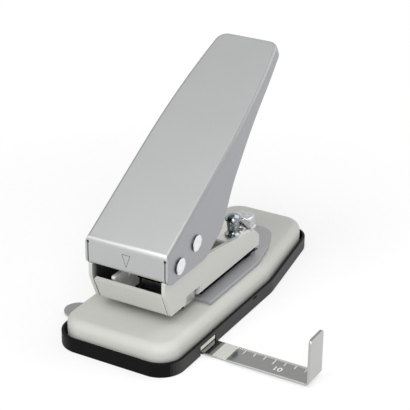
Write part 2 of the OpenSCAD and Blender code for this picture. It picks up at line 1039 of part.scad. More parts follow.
module gauge_strip() {
    flat_end = stop_x - stop_bend_r;
    half = strip_w / 2;
    end_x = -base_w / 2 - strip_tail;
    stop_side = rounded([
        [strip_y - half, strip_z + stop_bend_r, 0],
        [strip_y + half, strip_z + stop_bend_r, 0],
        [strip_y + half, stop_z, stop_corner_r],
        [strip_y - half, stop_z, stop_corner_r]
    ]);
    color("#9A9A9A") {
        box([end_x, strip_y - half, strip_z], [flat_end, strip_y + half, strip_z + strip_t]);
        rod([end_x, strip_y - head_shift, strip_z], 2 * head_r, strip_t);
        across(stop_side, stop_x - strip_t, stop_x);
        translate([flat_end, strip_y + half, strip_z + stop_bend_r])
            rotate([90, 0, 0])
                difference() {
                    intersection() {
                        cylinder(r = stop_bend_r, h = strip_w);
                        translate([0, -stop_bend_r, 0])
                            cube([stop_bend_r, stop_bend_r, strip_w]);
                    }
                    translate([0, 0, -cut])
                        cylinder(r = stop_bend_r - strip_t, h = strip_w + 2 * cut);
                }
    }
}

plate_low = deck_z + plate_float;
plate_z = plate_low + plate_t;

module depth_plate() {
    front = plate_front_y;
    half = plate_w / 2;
    outline = rounded([
        [-half, front, plate_corner_r],
        [half, front, plate_corner_r],
        [half, front + plate_side_l, tongue_r1],
        [tongue_w1 / 2, tongue_y, tongue_r2],
        [tongue_w2 / 2, tongue_y + tongue_tip, tongue_r3],
        [-tongue_w2 / 2, tongue_y + tongue_tip, tongue_r3],
        [-tongue_w1 / 2, tongue_y, tongue_r2],
        [-half, front + plate_side_l, tongue_r1]
    ]);
    window_front = riser_front_y - plate_back - notch_side;
    window_rear = frame_rear_y + plate_forward + notch_side;
    narrow = riser_w / 2 + notch_side;
    wide = bolt_x + spacer_d / 2 + notch_side;
    wide_front = bolt_y - spacer_d / 2 - plate_back - notch_side;
    color("#9A9A9D")
        difference() {
            upright(outline, plate_low, plate_z);
            box([-narrow, window_front, plate_low - cut], [narrow, window_rear, plate_z + cut]);
            box([-wide, wide_front, plate_low - cut], [wide, window_rear, plate_z + cut]);
        }
}

module thumbscrew() {
    seat = bridge_z + slip;
    body_z = seat + thumb_flange_h + thumb_neck_h;
    cap_z = body_z + thumb_body_h;
    profile = [
        [0, plate_z + slip / 2],
        [shank_d / 2, plate_z + slip / 2],
        [shank_d / 2, seat],
        [thumb_d / 2, seat],
        [thumb_d / 2, seat + thumb_flange_h / 2],
        [thumb_neck_d / 2, seat + thumb_flange_h],
        [thumb_neck_d / 2, body_z],
        [thumb_body_d / 2, cap_z],
        [thumb_cap_d / 2, cap_z],
        each [for (a = [0:thumb_cap_step:90]) [
            thumb_cap_d / 2 * cos(a),
            cap_z + thumb_cap_rim + (thumb_cap_h - thumb_cap_rim) * sin(a)
        ]]
    ];
    color("#C6C8CA")
        translate([thumb_x, thumb_y, 0])
            rotate_extrude()
                polygon(profile);
}

base_tray();
base_shell();
gauge_guide(-1);  // gauge_guide_left
gauge_guide(1);  // gauge_guide_right
die_plate();
riser_block();
frame_channel();
punch_guide();
bridge_plate();
spacer(-1);  // spacer_left
spacer(1);  // spacer_right
sleeve(-1);  // sleeve_left
sleeve(1);  // sleeve_right
washer(-1);  // washer_left
washer(1);  // washer_right
hex_bolt(-1);  // hex_bolt_left
hex_bolt(1);  // hex_bolt_right
hex_nut(-1);  // hex_nut_left
hex_nut(1);  // hex_nut_right
clamp_bush();
pivot_rivet();
window_bracket();
lever();
drive_pin();
punch_carriage();
punch_blade();
return_spring(-1);  // return_spring_left
return_spring(1);  // return_spring_right
gauge_strip();
depth_plate();
thumbscrew();
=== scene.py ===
import math

import bpy
import numpy as np
from mathutils import Matrix, Vector


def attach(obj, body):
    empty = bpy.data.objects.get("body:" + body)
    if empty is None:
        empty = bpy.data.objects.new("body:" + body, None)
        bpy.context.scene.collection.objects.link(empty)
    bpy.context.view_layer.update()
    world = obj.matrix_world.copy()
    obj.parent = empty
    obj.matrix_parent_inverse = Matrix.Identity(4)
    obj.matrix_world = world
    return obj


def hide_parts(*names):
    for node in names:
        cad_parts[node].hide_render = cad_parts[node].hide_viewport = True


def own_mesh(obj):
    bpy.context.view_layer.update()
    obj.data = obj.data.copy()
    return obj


bl_info = {
    "name": "Slot Punch",
    "version": (1, 0, 0),
    "blender": (4, 5, 0),
    "location": "3D View > Sidebar > Slot Punch",
    "description": "Dresses a card slot punch with smooth sheet-metal pieces and their finishes",
    "category": "Object",
}

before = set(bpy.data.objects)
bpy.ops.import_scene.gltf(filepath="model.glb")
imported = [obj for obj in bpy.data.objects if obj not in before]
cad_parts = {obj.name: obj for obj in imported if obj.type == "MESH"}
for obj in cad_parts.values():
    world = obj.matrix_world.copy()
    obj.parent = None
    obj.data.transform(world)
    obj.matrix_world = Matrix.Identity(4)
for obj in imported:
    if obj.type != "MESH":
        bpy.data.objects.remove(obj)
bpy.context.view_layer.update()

MM = 0.001  # lengths below are in millimetres, meshes in metres
TINY = 0.02  # radius of a corner that is sharp to the eye
FINE = 14  # steps in a corner's arc
QUARTER = np.pi / 2
SIDES = ((-1, "left"), (1, "right"))


# Outlines


def unit(v):
    """Each row divided by its length."""
    return v / np.linalg.norm(v, axis=-1, keepdims=True)


def left_of(e):
    """Each direction turned a quarter turn counter-clockwise."""
    return np.stack([-e[:, 1], e[:, 0]], -1)


def inset(corners, d):
    """Moves each edge of a counter-clockwise outline inward by d: a corner goes d (a + b) / (1 + a.b)
    along its edges' normals a and b, and its radius changes by d against the way it turns."""
    c = np.asarray(corners, float)
    at = c[:, :2]
    e = unit(at - np.roll(at, 1, 0))
    f = unit(np.roll(at, -1, 0) - at)
    a, b = left_of(e), left_of(f)
    moved = at + d * (a + b) / (1 + (a * b).sum(1))[:, None]
    turn = np.sign(e[:, 0] * f[:, 1] - e[:, 1] * f[:, 0])
    return np.column_stack([moved, np.maximum(c[:, 2] - d * turn, TINY)])


def outline(corners, steps=FINE):
    """Closed outline with an arc of radius r at each corner: its centre lies r / sin(half) from the
    corner on the bisector, and it sweeps from one tangent point to the other."""
    c = np.asarray(corners, float)
    at, r = c[:, :2], np.maximum(c[:, 2], TINY)
    u = unit(np.roll(at, 1, 0) - at)
    v = unit(np.roll(at, -1, 0) - at)
    half = np.arccos(np.clip((u * v).sum(1), -1, 1)) / 2
    centre = at + unit(u + v) * (r / np.sin(half))[:, None]
    reach = (r / np.tan(half))[:, None]
    a, b = at + u * reach - centre, at + v * reach - centre
    start = np.arctan2(a[:, 1], a[:, 0])
    turn = (np.arctan2(b[:, 1], b[:, 0]) - start + np.pi) % (2 * np.pi) - np.pi
    t = start[:, None] + turn[:, None] * np.linspace(0, 1, steps + 1)
    arcs = centre[:, None] + r[:, None, None] * np.stack([np.cos(t), np.sin(t)], -1)
    return arcs.reshape(-1, 2)


def sheet(path, thick):
    """Corners of a bent sheet: the path is one face, and the other lies thick to its left."""
    p = np.asarray(path, float)
    at = p[:, :2]
    step = unit(np.diff(at, axis=0))
    e = np.vstack([step[:1], step])
    f = np.vstack([step, step[-1:]])
    a, b = left_of(e), left_of(f)
    other = at + thick * (a + b) / (1 + (a * b).sum(1))[:, None]
    side = np.sign(e[:, 0] * f[:, 1] - e[:, 1] * f[:, 0])
    radius = np.where(p[:, 2] > 0, np.maximum(p[:, 2] - side * thick, TINY), 0)
    return np.vstack([p, np.column_stack([other, radius])[::-1]])


def mirrored(right):
    """A whole outline from the corners of its right half, with the left half's last corner first."""
    left = [[-x, y, r] for x, y, r in right[::-1]]
    return left[-1:] + right + left[:-1]


# Surfaces


def skin(rings, wrap=False):
    """Quads between neighbouring rings of points; the end rings are closed by one face each, or joined
    to each other when wrap is set."""
    rings = np.asarray(rings, float)
    m, n = rings.shape[:2]
    index = np.arange(m * n).reshape(m, n)
    low, high = (index, np.roll(index, -1, 0)) if wrap else (index[:-1], index[1:])
    quads = np.stack([low, np.roll(low, -1, 1), np.roll(high, -1, 1), high], -1)
    faces = quads.reshape(-1, 4).tolist()
    if not wrap:
        faces += [index[0, ::-1].tolist(), index[-1].tolist()]
    return rings.reshape(-1, 3), faces


def levels(corners, profile, steps=FINE):
    """One ring for each (inset, height) pair of a profile, carried round an outline."""
    return np.stack([
        np.column_stack([flat, np.full(len(flat), height)])
        for flat, height in ((outline(inset(corners, d), steps), h) for d, h in profile)
    ])


def quarter(r, steps, over):
    """(inset, drop) of a quarter round of radius r: r (1 - cos a), r (1 - sin a) for a to 90 degrees,
    with a flat strip of the width over behind it."""
    a = np.linspace(0, QUARTER, steps + 1)
    return [(r * (1 - math.cos(x)), r * (1 - math.sin(x))) for x in a] + [(r + over, 0)]


def plate_profile(low, high, edge, steps=3, over=0.4):
    """Profile of a plate whose two rims are rounded by edge, from its lower face to its upper one."""
    curve = quarter(edge, steps, over)
    lower = [(d, low + drop) for d, drop in curve[::-1]]
    upper = [(d, high - drop) for d, drop in curve]
    wall = high - low - 2 * edge
    hold = [(0, low + edge + min(over, wall / 3)), (0, high - edge - min(over, wall / 3))]
    return lower + hold + upper


AXES = {
    "up": lambda p: p,
    "across": lambda p: p[..., [2, 0, 1]],
    "along": lambda p: np.stack([p[..., 0], -p[..., 2], p[..., 1]], -1),
}


def plate(corners, low, high, axis="up", edge=0.15, steps=FINE):
    """A plate of the given outline with softened rims. Across: outline in y and z, heights along x.
    Along: outline in x and z, heights run against y."""
    if axis == "along":
        low, high = -high, -low
    return skin(AXES[axis](levels(corners, plate_profile(low, high, edge), steps)))


def bar(corners, low, high, axis="up", steps=FINE):
    """A plain prism, for cutting."""
    if axis == "along":
        low, high = -high, -low
    return skin(AXES[axis](levels(corners, [(0, low), (0, high)], steps)))


def about(middle, half):
    """The two ends of a stretch round its middle."""
    return middle - half, middle + half


def span(side, near, far):
    """The two ends, along x, of a stretch between two distances from the middle plane."""
    return sorted((side * near, side * far))


def block(x, y, z, edge=0):
    """A box between the two ends of a stretch along each axis; edge softens its edges."""
    corners = [[x[0], y[0], edge], [x[1], y[0], edge], [x[1], y[1], edge], [x[0], y[1], edge]]
    if edge:
        return plate(corners, *z, edge=edge, steps=3)
    return bar(corners, *z, steps=1)


def circle(segments):
    """Angles of points spread evenly round a circle."""
    return np.arange(segments) * 2 * np.pi / segments


def revolved(r, h, t):
    """Points at radii r from the z axis, heights h and angles t: r cos t, r sin t, h."""
    return np.stack([r * np.cos(t), r * np.sin(t), h + 0 * (r + t)], -1)


def turned(profile, segments=64):
    """A turned piece: each (radius, height) of the profile goes round the z axis in segments steps."""
    p = np.asarray(profile, float)
    return skin(revolved(np.maximum(p[:, 0], TINY)[:, None], p[:, 1][:, None], circle(segments)))


def rod(at, d, low, high, axis="up", segments=48):
    """A plain round bar, for cutting or for shanks."""
    ring = np.asarray(at, float) + revolved(d / 2, 0, circle(segments))[:, :2]
    if axis == "along":
        low, high = -high, -low
    rings = np.stack([np.column_stack([ring, np.full(segments, h)]) for h in (low, high)])
    return skin(AXES[axis](rings))


def slot_corners(at, long, wide):
    """Corners of a slot with round ends."""
    (x, y), a, b, r = at, long / 2, wide / 2, wide / 2 - TINY
    return [[x - a, y - b, r], [x + a, y - b, r], [x + a, y + b, r], [x - a, y + b, r]]


def moved(part, by):
    """The same surface, shifted."""
    return part[0] + np.asarray(by, float), part[1]


def lying(part, side, at):
    """Turns a piece that was made upright so that its top points to side along x: its x runs along y,
    its y along z or against it, which keeps the faces outwards."""
    v, faces = part
    return np.stack([side * v[:, 2], v[:, 0], side * v[:, 1]], -1) + at, faces


# Objects


def new_object(name, part):
    """A mesh object from (points in millimetres, faces)."""
    v, faces = part
    mesh = bpy.data.meshes.new(name)
    mesh.from_pydata((np.asarray(v) * MM).tolist(), [], faces)
    mesh.validate()
    obj = bpy.data.objects.new(name, mesh)
    bpy.context.scene.collection.objects.link(obj)
    return obj


def combine(obj, tools, operation):
    """Cuts tools from obj, adds them to it or keeps what they share, and keeps the plain result. A tool
    is a surface or an object, and is used up."""
    tools = [tool if isinstance(tool, bpy.types.Object) else new_object("tool", tool) for tool in tools]
    for tool in tools:
        mod = obj.modifiers.new("combine", "BOOLEAN")
        mod.operation, mod.object, mod.solver = operation, tool, "EXACT"
    bpy.context.view_layer.update()
    graph = bpy.context.evaluated_depsgraph_get()
    mesh = bpy.data.meshes.new_from_object(obj.evaluated_get(graph))
    old = obj.data
    obj.modifiers.clear()
    obj.data = mesh
    mesh.name = obj.name
    bpy.data.meshes.remove(old)
    for tool in tools:
        data = tool.data
        bpy.data.objects.remove(tool)
        bpy.data.meshes.remove(data)


def join(parts):
    """Several surfaces as one set of points and faces."""
    points, faces, start = [], [], 0
    for v, f in parts:
        points.append(v)
        faces += [[i + start for i in face] for face in f]
        start += len(v)
    return np.vstack(points), faces


def lay(obj, **rules):
    """Keeps a number on each face for its finish: a rule works it out from the faces' centres in
    millimetres and their normals, each three rows of x, y and z."""
    mesh = obj.data
    centres, normals = np.empty((2, len(mesh.polygons) * 3))
    mesh.polygons.foreach_get("center", centres)
    mesh.polygons.foreach_get("normal", normals)
    for name, rule in rules.items():
        value = rule(centres.reshape(-1, 3).T / MM, normals.reshape(-1, 3).T)
        mesh.attributes.new(name, "FLOAT", "FACE").data.foreach_set("value", value.astype(float))


def flank(centre, normal):
    """How squarely a face looks to the left or right."""
    return np.abs(normal[0])


def settle(obj, material, body, replaces=(), angle=32):
    """Smooth shading up to an angle with flat faces kept flat, the finish, and what it rides on."""
    obj.data.shade_smooth()
    obj.data.set_sharp_from_angle(angle=math.radians(angle))
    weights = obj.modifiers.new("even_normals", "WEIGHTED_NORMAL")
    weights.keep_sharp = True
    obj.data.materials.clear()
    obj.data.materials.append(FINISHES[material])
    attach(obj, body)
    if replaces:
        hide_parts(*replaces)


def dress(nodes, material):
    """Gives CAD nodes their finish."""
    for name in nodes:
        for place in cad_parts[name].material_slots:
            place.material = FINISHES[material]


# Finishes

FINISHES = {}
MIX_A, MIX_B, MIXED = 6, 7, 2  # the two colour inputs of a colour mix, and its colour output
PATCH_DETAIL, GRAIN_DETAIL = 4.0, 3.0
COAT_ROUGHNESS = 0.12


def linear(code):
    """An sRGB hex colour as linear red, green, blue and alpha."""
    values = [int(code[i:i + 2], 16) / 255 for i in (1, 3, 5)]
    return tuple(v / 12.92 if v <= 0.04045 else ((v + 0.055) / 1.055) ** 2.4 for v in values) + (1.0,)


def add(tree, kind, inputs=None, **settings):
    """Adds a node with its settings; an input takes a value or a (node, output) to link."""
    node = tree.nodes.new(kind)
    for key, value in settings.items():
        setattr(node, key, value)
    for key, value in (inputs or {}).items():
        if isinstance(value, tuple) and len(value) == 2 and isinstance(value[0], bpy.types.Node):
            tree.links.new(value[0].outputs[value[1]], node.inputs[key])
        else:
            node.inputs[key].default_value = value
    return node


def blank(name):
    """An empty node material."""
    material = bpy.data.materials.new(name)
    material.use_nodes = True
    material.node_tree.nodes.clear()
    return material, material.node_tree


def tinted(tree, colour, spread, patches):
    """A colour that wanders by a share of itself from patch to patch."""
    dark = tuple(c * (1 - spread) for c in colour) + (1,)
    light = tuple(min(1, c * (1 + spread)) for c in colour) + (1,)
    mix = add(tree, "ShaderNodeMix", {"Factor": (patches, "Fac"), MIX_A: dark, MIX_B: light},
              data_type="RGBA")
    return (mix, MIXED)


def finish(name, colour, roughness, grain_mm, metallic=0.0, grain_stretch=(1, 1, 1), bump=0.02,
           spread=0.03, rough_spread=0.06, coat=0.0, specular=0.5, patch_mm=14, others=()):
    """One finish: a base colour with slight patches, and a fine grain that moves its roughness and
    its height. patch_mm and grain_mm are their widths, grain_stretch below 1 draws the grain out along
    an axis. Each of others is a colour for part of the surface and the way its share is worked out.
    Orange peel has its real width of about 1 mm. Grain of brushing, grinding, moulding, plating or paint
    is finer than a pixel, and is drawn 0.15 to 0.6 mm wide, as coarse as it needs to show."""
    material, tree = blank(name)
    where = add(tree, "ShaderNodeTexCoord")
    patches = add(tree, "ShaderNodeTexNoise", {
        "Vector": (where, "Object"), "Scale": 1 / (patch_mm * MM), "Detail": PATCH_DETAIL,
    })
    base = tinted(tree, colour, spread, patches)
    for other, share in others:
        mix = add(tree, "ShaderNodeMix", {
            "Factor": share(tree, where), MIX_A: base, MIX_B: tinted(tree, other, spread, patches),
        }, data_type="RGBA")
        base = (mix, MIXED)
    grid = add(tree, "ShaderNodeMapping", {"Vector": (where, "Object"), "Scale": grain_stretch})
    grain = add(tree, "ShaderNodeTexNoise", {
        "Vector": (grid, "Vector"), "Scale": 1 / (grain_mm * MM), "Detail": GRAIN_DETAIL,
    })
    rough = add(tree, "ShaderNodeMapRange", {
        "Value": (grain, "Fac"), "To Min": roughness - rough_spread, "To Max": roughness + rough_spread,
    })
    height = add(tree, "ShaderNodeBump", {
        "Height": (grain, "Fac"), "Strength": bump, "Distance": grain_mm * MM,
    })
    shader = add(tree, "ShaderNodeBsdfPrincipled", {
        "Base Color": base, "Metallic": metallic, "Roughness": (rough, "Result"),
        "Normal": (height, "Normal"), "Coat Weight": coat, "Coat Roughness": COAT_ROUGHNESS,
        "Specular IOR Level": specular,
    })
    add(tree, "ShaderNodeOutputMaterial", {"Surface": (shader, "BSDF")})
    FINISHES[name] = material


def by(name, low, high):
    """Share that runs from 0 to 1 while a number kept on the faces goes from low to high."""
    def share(tree, where):
        kept = add(tree, "ShaderNodeAttribute", attribute_name=name)
        ramp = add(tree, "ShaderNodeMapRange", {"Value": (kept, "Fac"), "From Min": low, "From Max": high})
        return (ramp, "Result")
    return share


def by_reach(low, high):
    """Share that is 1 between two places along x, in mm, and 0 beyond them."""
    def share(tree, where):
        split = add(tree, "ShaderNodeSeparateXYZ", {"Vector": (where, "Object")})
        near = add(tree, "ShaderNodeMath", {
            0: (split, "X"), 1: (low + high) / 2 * MM, 2: (high - low) / 2 * MM}, operation="COMPARE")
        return (near, 0)
    return share


def by_depth(low, high):
    """Share on the marked inner faces, rising from 0 to 1 between two places along y, in mm."""
    def share(tree, where):
        split = add(tree, "ShaderNodeSeparateXYZ", {"Vector": (where, "Object")})
        deep = add(tree, "ShaderNodeMapRange", {
            "Value": (split, "Y"), "From Min": low * MM, "From Max": high * MM})
        inner = add(tree, "ShaderNodeAttribute", attribute_name="inner")
        both = add(tree, "ShaderNodeMath", {0: (deep, "Result"), 1: (inner, "Fac")}, operation="MULTIPLY")
        return (both, 0)
    return share


def painted_finishes(c):
    """Enamel, lacquer, plastic and paint, from the colours in the panel."""
    # stove enamel over pressed steel: a soft gloss with a faint orange peel about 1 mm wide
    finish("stove_enamel", c.enamel, roughness=0.5, grain_mm=1.1, bump=0.05, specular=0.3)
    # the frame's enamel: glossier; its lower bends are painted bright, a painted highlight, and its inner
    # walls are painted darker deeper inside the frame, a painted shade
    finish("stove_enamel_over_primer", c.enamel, roughness=0.35, grain_mm=1.1, bump=0.05, coat=0.12,
           others=[(c.inner_shade, by_depth(-64, -57)), (c.bend, by("bend", 0.1, 0.3))])
    # moulded black plastic: matt, its grain drawn out in streaks along its long sides, which are painted
    # grey, a painted sheen for the light they reflect
    finish("moulded_black_plastic", c.tray, roughness=0.45, grain_mm=0.4, grain_stretch=(1, 0.05, 1),
           bump=0.1, spread=0.15, specular=0.08, others=[(c.tray_side_sheen, by("flank", 0.75, 0.98))])
    # pale moulded guides of the gauge: smooth and a little glossy
    finish("moulded_white_plastic", c.guide, roughness=0.3, grain_mm=0.5)
    # depth plate: grey satin lacquer with metal powder in it
    finish("grey_metal_lacquer", c.plate, roughness=0.42, grain_mm=0.2, metallic=0.4, bump=0.03,
           spread=0.02)
    # carriage: blackened steel that gives hardly any reflection
    finish("blackened_steel", c.carriage, roughness=0.7, grain_mm=0.3, bump=0.04, specular=0.05)
    # marks: dull dark paint on the lever, dull pale paint on the gauge
    finish("dark_fill_paint", c.mark, roughness=0.6, grain_mm=0.3)
    finish("white_fill_paint", c.tick, roughness=0.6, grain_mm=0.3)


def metal_finishes(c):
    """Plated, ground and polished metals, from the colours in the panel."""
    # satin nickel plate: soft wide reflections; painted shade makes the side bends and the sides darker
    # than the top, a painted highlight brightens the nose bend, and the face is painted lighter, painted
    # light
    finish("satin_nickel_plate", c.lever, roughness=0.42, grain_mm=0.25, metallic=1.0,
           grain_stretch=(1, 0.3, 0.3), bump=0.04, spread=0.025,
           others=[(c.side_bend_shade, by("flank", 0.1, 0.35)), (c.flange, by("flank", 0.75, 0.97)),
                   (c.nose, by("front", 0.58, 0.72)), (c.face, by("front", 0.86, 0.97))])
    # polished chromium plate: nearly a mirror
    finish("polished_chromium_plate", c.chrome, roughness=0.1, grain_mm=0.6, metallic=1.0, bump=0.01,
           spread=0.02, rough_spread=0.03)
    # pearl nickel plate on the bridge: pale, with a soft sheen and no sharp reflections
    finish("pearl_nickel_plate", c.bridge, roughness=0.42, grain_mm=0.6, metallic=0.6, bump=0.01,
           rough_spread=0.04)
    # white zinc on the bracket: pale and dull, so that it shows in the dark window
    finish("white_zinc_plate", c.bracket, roughness=0.4, grain_mm=0.5, bump=0.03, spread=0.05)
    # bright zinc on the fasteners: sharp reflections in clouded patches
    finish("bright_zinc_plate", c.zinc, roughness=0.16, grain_mm=0.5, metallic=1.0, spread=0.45,
           rough_spread=0.08, patch_mm=2.2)
    # rivet heads: bright crowns, and a painted shade darkens the rim round each head
    finish("polished_rivet_steel", c.rivet, roughness=0.2, grain_mm=0.5, metallic=1.0, bump=0.03,
           spread=0.16, patch_mm=1.8, others=[(c.rim, by("flank", 0.8, 0.5))])
    # gauge strip: chromium plate that mirrors the tray; a stretch near the tray is painted bright, a
    # painted reflection, and the upturned stop and edges are painted lighter than the flat, painted light
    finish("rubbed_chromium_plate", c.gauge, roughness=0.08, grain_mm=0.2, metallic=1.0,
           grain_stretch=(0.05, 1, 1), bump=0.01, rough_spread=0.03,
           others=[(c.polished, by_reach(36.3, 43.2)), (c.stop, by("upright", 0.2, 0.6))])
    # ground tool steel: straight fine lines
    finish("ground_tool_steel", c.steel, roughness=0.3, grain_mm=0.15, metallic=1.0,
           grain_stretch=(0.06, 1, 1), bump=0.05, spread=0.04)
    # guide block: oil-blackened steel, ground bright at its two ends
    finish("blackened_steel_ground_ends", c.guide_end, roughness=0.32, grain_mm=0.15, metallic=0.9,
           bump=0.03, spread=0.04, others=[(c.carriage, by_reach(-17.6, 17.6))])
    # drawn spring wire: smooth and grey
    finish("drawn_spring_wire", c.steel, roughness=0.26, grain_mm=0.2, metallic=1.0)


# Settings


def colour(code, name, note):
    """A colour property with an sRGB hex default."""
    return bpy.props.FloatVectorProperty(
        name=name, description=note, subtype="COLOR", size=3, min=0, max=1, default=linear(code)[:3])


def length(mm, name, note):
    """A length property with a default in millimetres."""
    return bpy.props.FloatProperty(
        name=name, description=note, subtype="DISTANCE", unit="LENGTH", min=0, default=mm * MM, precision=4)


class PunchColours(bpy.types.PropertyGroup):
    enamel: colour("#C5C6C0", "Enamel", "Pressed shell and frame")
    # painted highlight: the frame's lower bends are painted this bright colour
    bend: colour("#F6F6F2", "Frame bend", "Enamel pulled thin and bright along the frame's lower bends")
    # painted shade: the frame's inner walls darken to this colour deeper inside
    inner_shade: colour("#262624", "Primer", "Dark primer deep inside the frame")
    tray: colour("#070708", "Tray", "Moulded chip tray")
    # painted sheen: the tray's long sides are painted this grey
    tray_side_sheen: colour("#3C3C3B", "Tray sides", "Long sides of the tray, rubbed grey")
    lever: colour("#A9AAAA", "Lever", "Satin plate of the lever")
    # painted light: the face plate is painted this lighter colour than the top
    face: colour("#BABBBB", "Lever face", "Face plate at the lever's front")
    # painted highlight along the bend over the face plate
    nose: colour("#C0C1C1", "Lever nose", "Bend over the lever's face plate, rubbed bright")
    # painted shade that damps the highlight along the side bends
    side_bend_shade: colour("#8C8D8E", "Side bends", "Bends along the lever's sides, a duller plate")
    # painted shade: the lever's sides are painted darker than its top
    flange: colour("#A4A5A8", "Lever sides", "Drawn sides of the lever")
    chrome: colour("#8B9194", "Chrome", "Thumbscrew")
    bridge: colour("#DFDDD6", "Bridge", "Bridge plate")
    bracket: colour("#FAFAF8", "Bracket", "Bracket behind the front window")
    zinc: colour("#B4B6B7", "Zinc", "Bolts, nuts and washers")
    rivet: colour("#E6E7E8", "Rivets", "Polished heads of rivet and pin")
    # painted shade on the rims of the rivet heads
    rim: colour("#4C4E52", "Rivet rims", "Turned rims of the heads")
    gauge: colour("#8B8B8A", "Gauge", "Gauge strip")
    # painted reflection: a bright stretch of the gauge strip near the tray
    polished: colour("#ECECEA", "Polished stretch", "Stretch of the gauge strip that its guides polish")
    # painted light: the strip's upright faces are painted lighter than its flat
    stop: colour("#B6B6B5", "Stop", "Upturned stop and edges of the gauge strip")
    plate: colour("#9E9EA1", "Depth plate", "Lacquered depth plate")
    steel: colour("#B4B5B7", "Steel", "Guide, die, springs and inner pieces")
    carriage: colour("#060607", "Carriage", "Blackened carriage")
    guide: colour("#E6E4DC", "Guides", "Pale guides of the gauge strip")
    guide_end: colour("#C2C3C2", "Guide ends", "Ground ends of the punch's guide")
    mark: colour("#48484A", "Mark", "Pointing mark on the lever")
    tick: colour("#F4F4F2", "Ticks", "Ticks and number on the gauge")


class BaseSizes(bpy.types.PropertyGroup):
    shell_edge: length(4, "Shell edge", "Radius of the shell's rounded top edge")
    shell_inset: length(2.4, "Shell inset", "Step from the tray's outline to the shell")
    shell_wall: length(1.2, "Shell wall", "Thickness of the shell's sheet")
    rim_wall: length(1.3, "Rim wall", "Thickness of the tray's wall")
    rim_height: length(7.0, "Rim height", "Height of the tray's rim")


class LeverSizes(bpy.types.PropertyGroup):
    bend: length(1.8, "Side bend", "Radius of the bend along the lever's sides")
    front_bend: length(3.6, "Front bend", "Radius of the bend over the face plate")
    wall: length(1.1, "Sheet", "Thickness of the lever's sheet")


class PartSizes(bpy.types.PropertyGroup):
    frame_bend: length(2.2, "Frame bend", "Outer radius of the frame's long bends")
    knurl: length(0.22, "Knurl", "Depth of the thumbscrew's knurl")
    wire: length(0.9, "Wire", "Diameter of the spring wire")
    tick: length(0.3, "Tick", "Width of a mark on the gauge")


# Base

BASE_L, BASE_W, TAPER_Y, TAIL_W = 151.2, 61.8, 18.6, 45.1
BASE_HALF = BASE_W / 2
SHELL_CORNER, TRAY_CORNER, TRAY_TAIL, TAPER_R = 13, 12, 11.5, 20
DECK = 14.1
SKIRT = 2.4
FLOOR = 1.4
STRIP_Y, STRIP_HALF = -42.8, 6.3
PUNCH_Y = -37.0
DIE_HALF = (12.0, 6.5)
TUNNEL_HALF, TUNNEL_WALL = 8, 1.4
NOTCH_HALF, NOTCH_TOP = 6.8, 4.8


def base_corners(front, tail):
    """The six corners of the base, its sides bending in towards the rear."""
    end = BASE_L / 2
    return mirrored([[BASE_HALF, -end, front], [BASE_HALF, TAPER_Y, TAPER_R], [TAIL_W / 2, end, tail]])


class PUNCH_OT_shell(bpy.types.Operator):
    """Makes the pressed shell with its rounded edge and the hole for the die"""
    bl_idname = "punch.shell"
    bl_label = "Shell"

    def execute(self, context):
        size = context.scene.punch_base
        r, d, t = size.shell_edge / MM, size.shell_inset / MM, size.shell_wall / MM
        strip = 0.6  # a flat strip beside each bend
        outer = [(d, SKIRT), (d, SKIRT + strip), (d, DECK - r - strip)]
        outer += [(d + a, DECK - b) for a, b in quarter(r, 12, strip)]
        inner = [(d + t + a, DECK - t - b) for a, b in quarter(r - t, 8, strip)][::-1]
        inner += [(d + t, SKIRT)]
        rings = levels(base_corners(SHELL_CORNER, SHELL_CORNER), outer + inner)
        # more points along the straight sides, so that the hole gets its corners
        between = np.linspace(0, 1, 8, endpoint=False)[:, None]
        step = np.roll(rings, -1, 1) - rings
        rings = (rings[:, :, None] + step[:, :, None] * between).reshape(len(rings), -1, 3)
        # the die's hole: each outline point drawn in to a rectangle round the slot
        centre = np.array([0, PUNCH_Y])
        away = rings[0, :, :2] - centre
        hole = centre + away * (DIE_HALF / np.abs(away)).min(1)[:, None]
        top, under = (np.column_stack([hole, np.full(len(hole), z)]) for z in (DECK, DECK - t))
        rings = np.concatenate([rings[:len(outer)], top[None], under[None], rings[len(outer):]])
        shell = new_object("shell", skin(rings, wrap=True))
        settle(shell, "stove_enamel", "base", ["base_shell"])
        return {"FINISHED"}


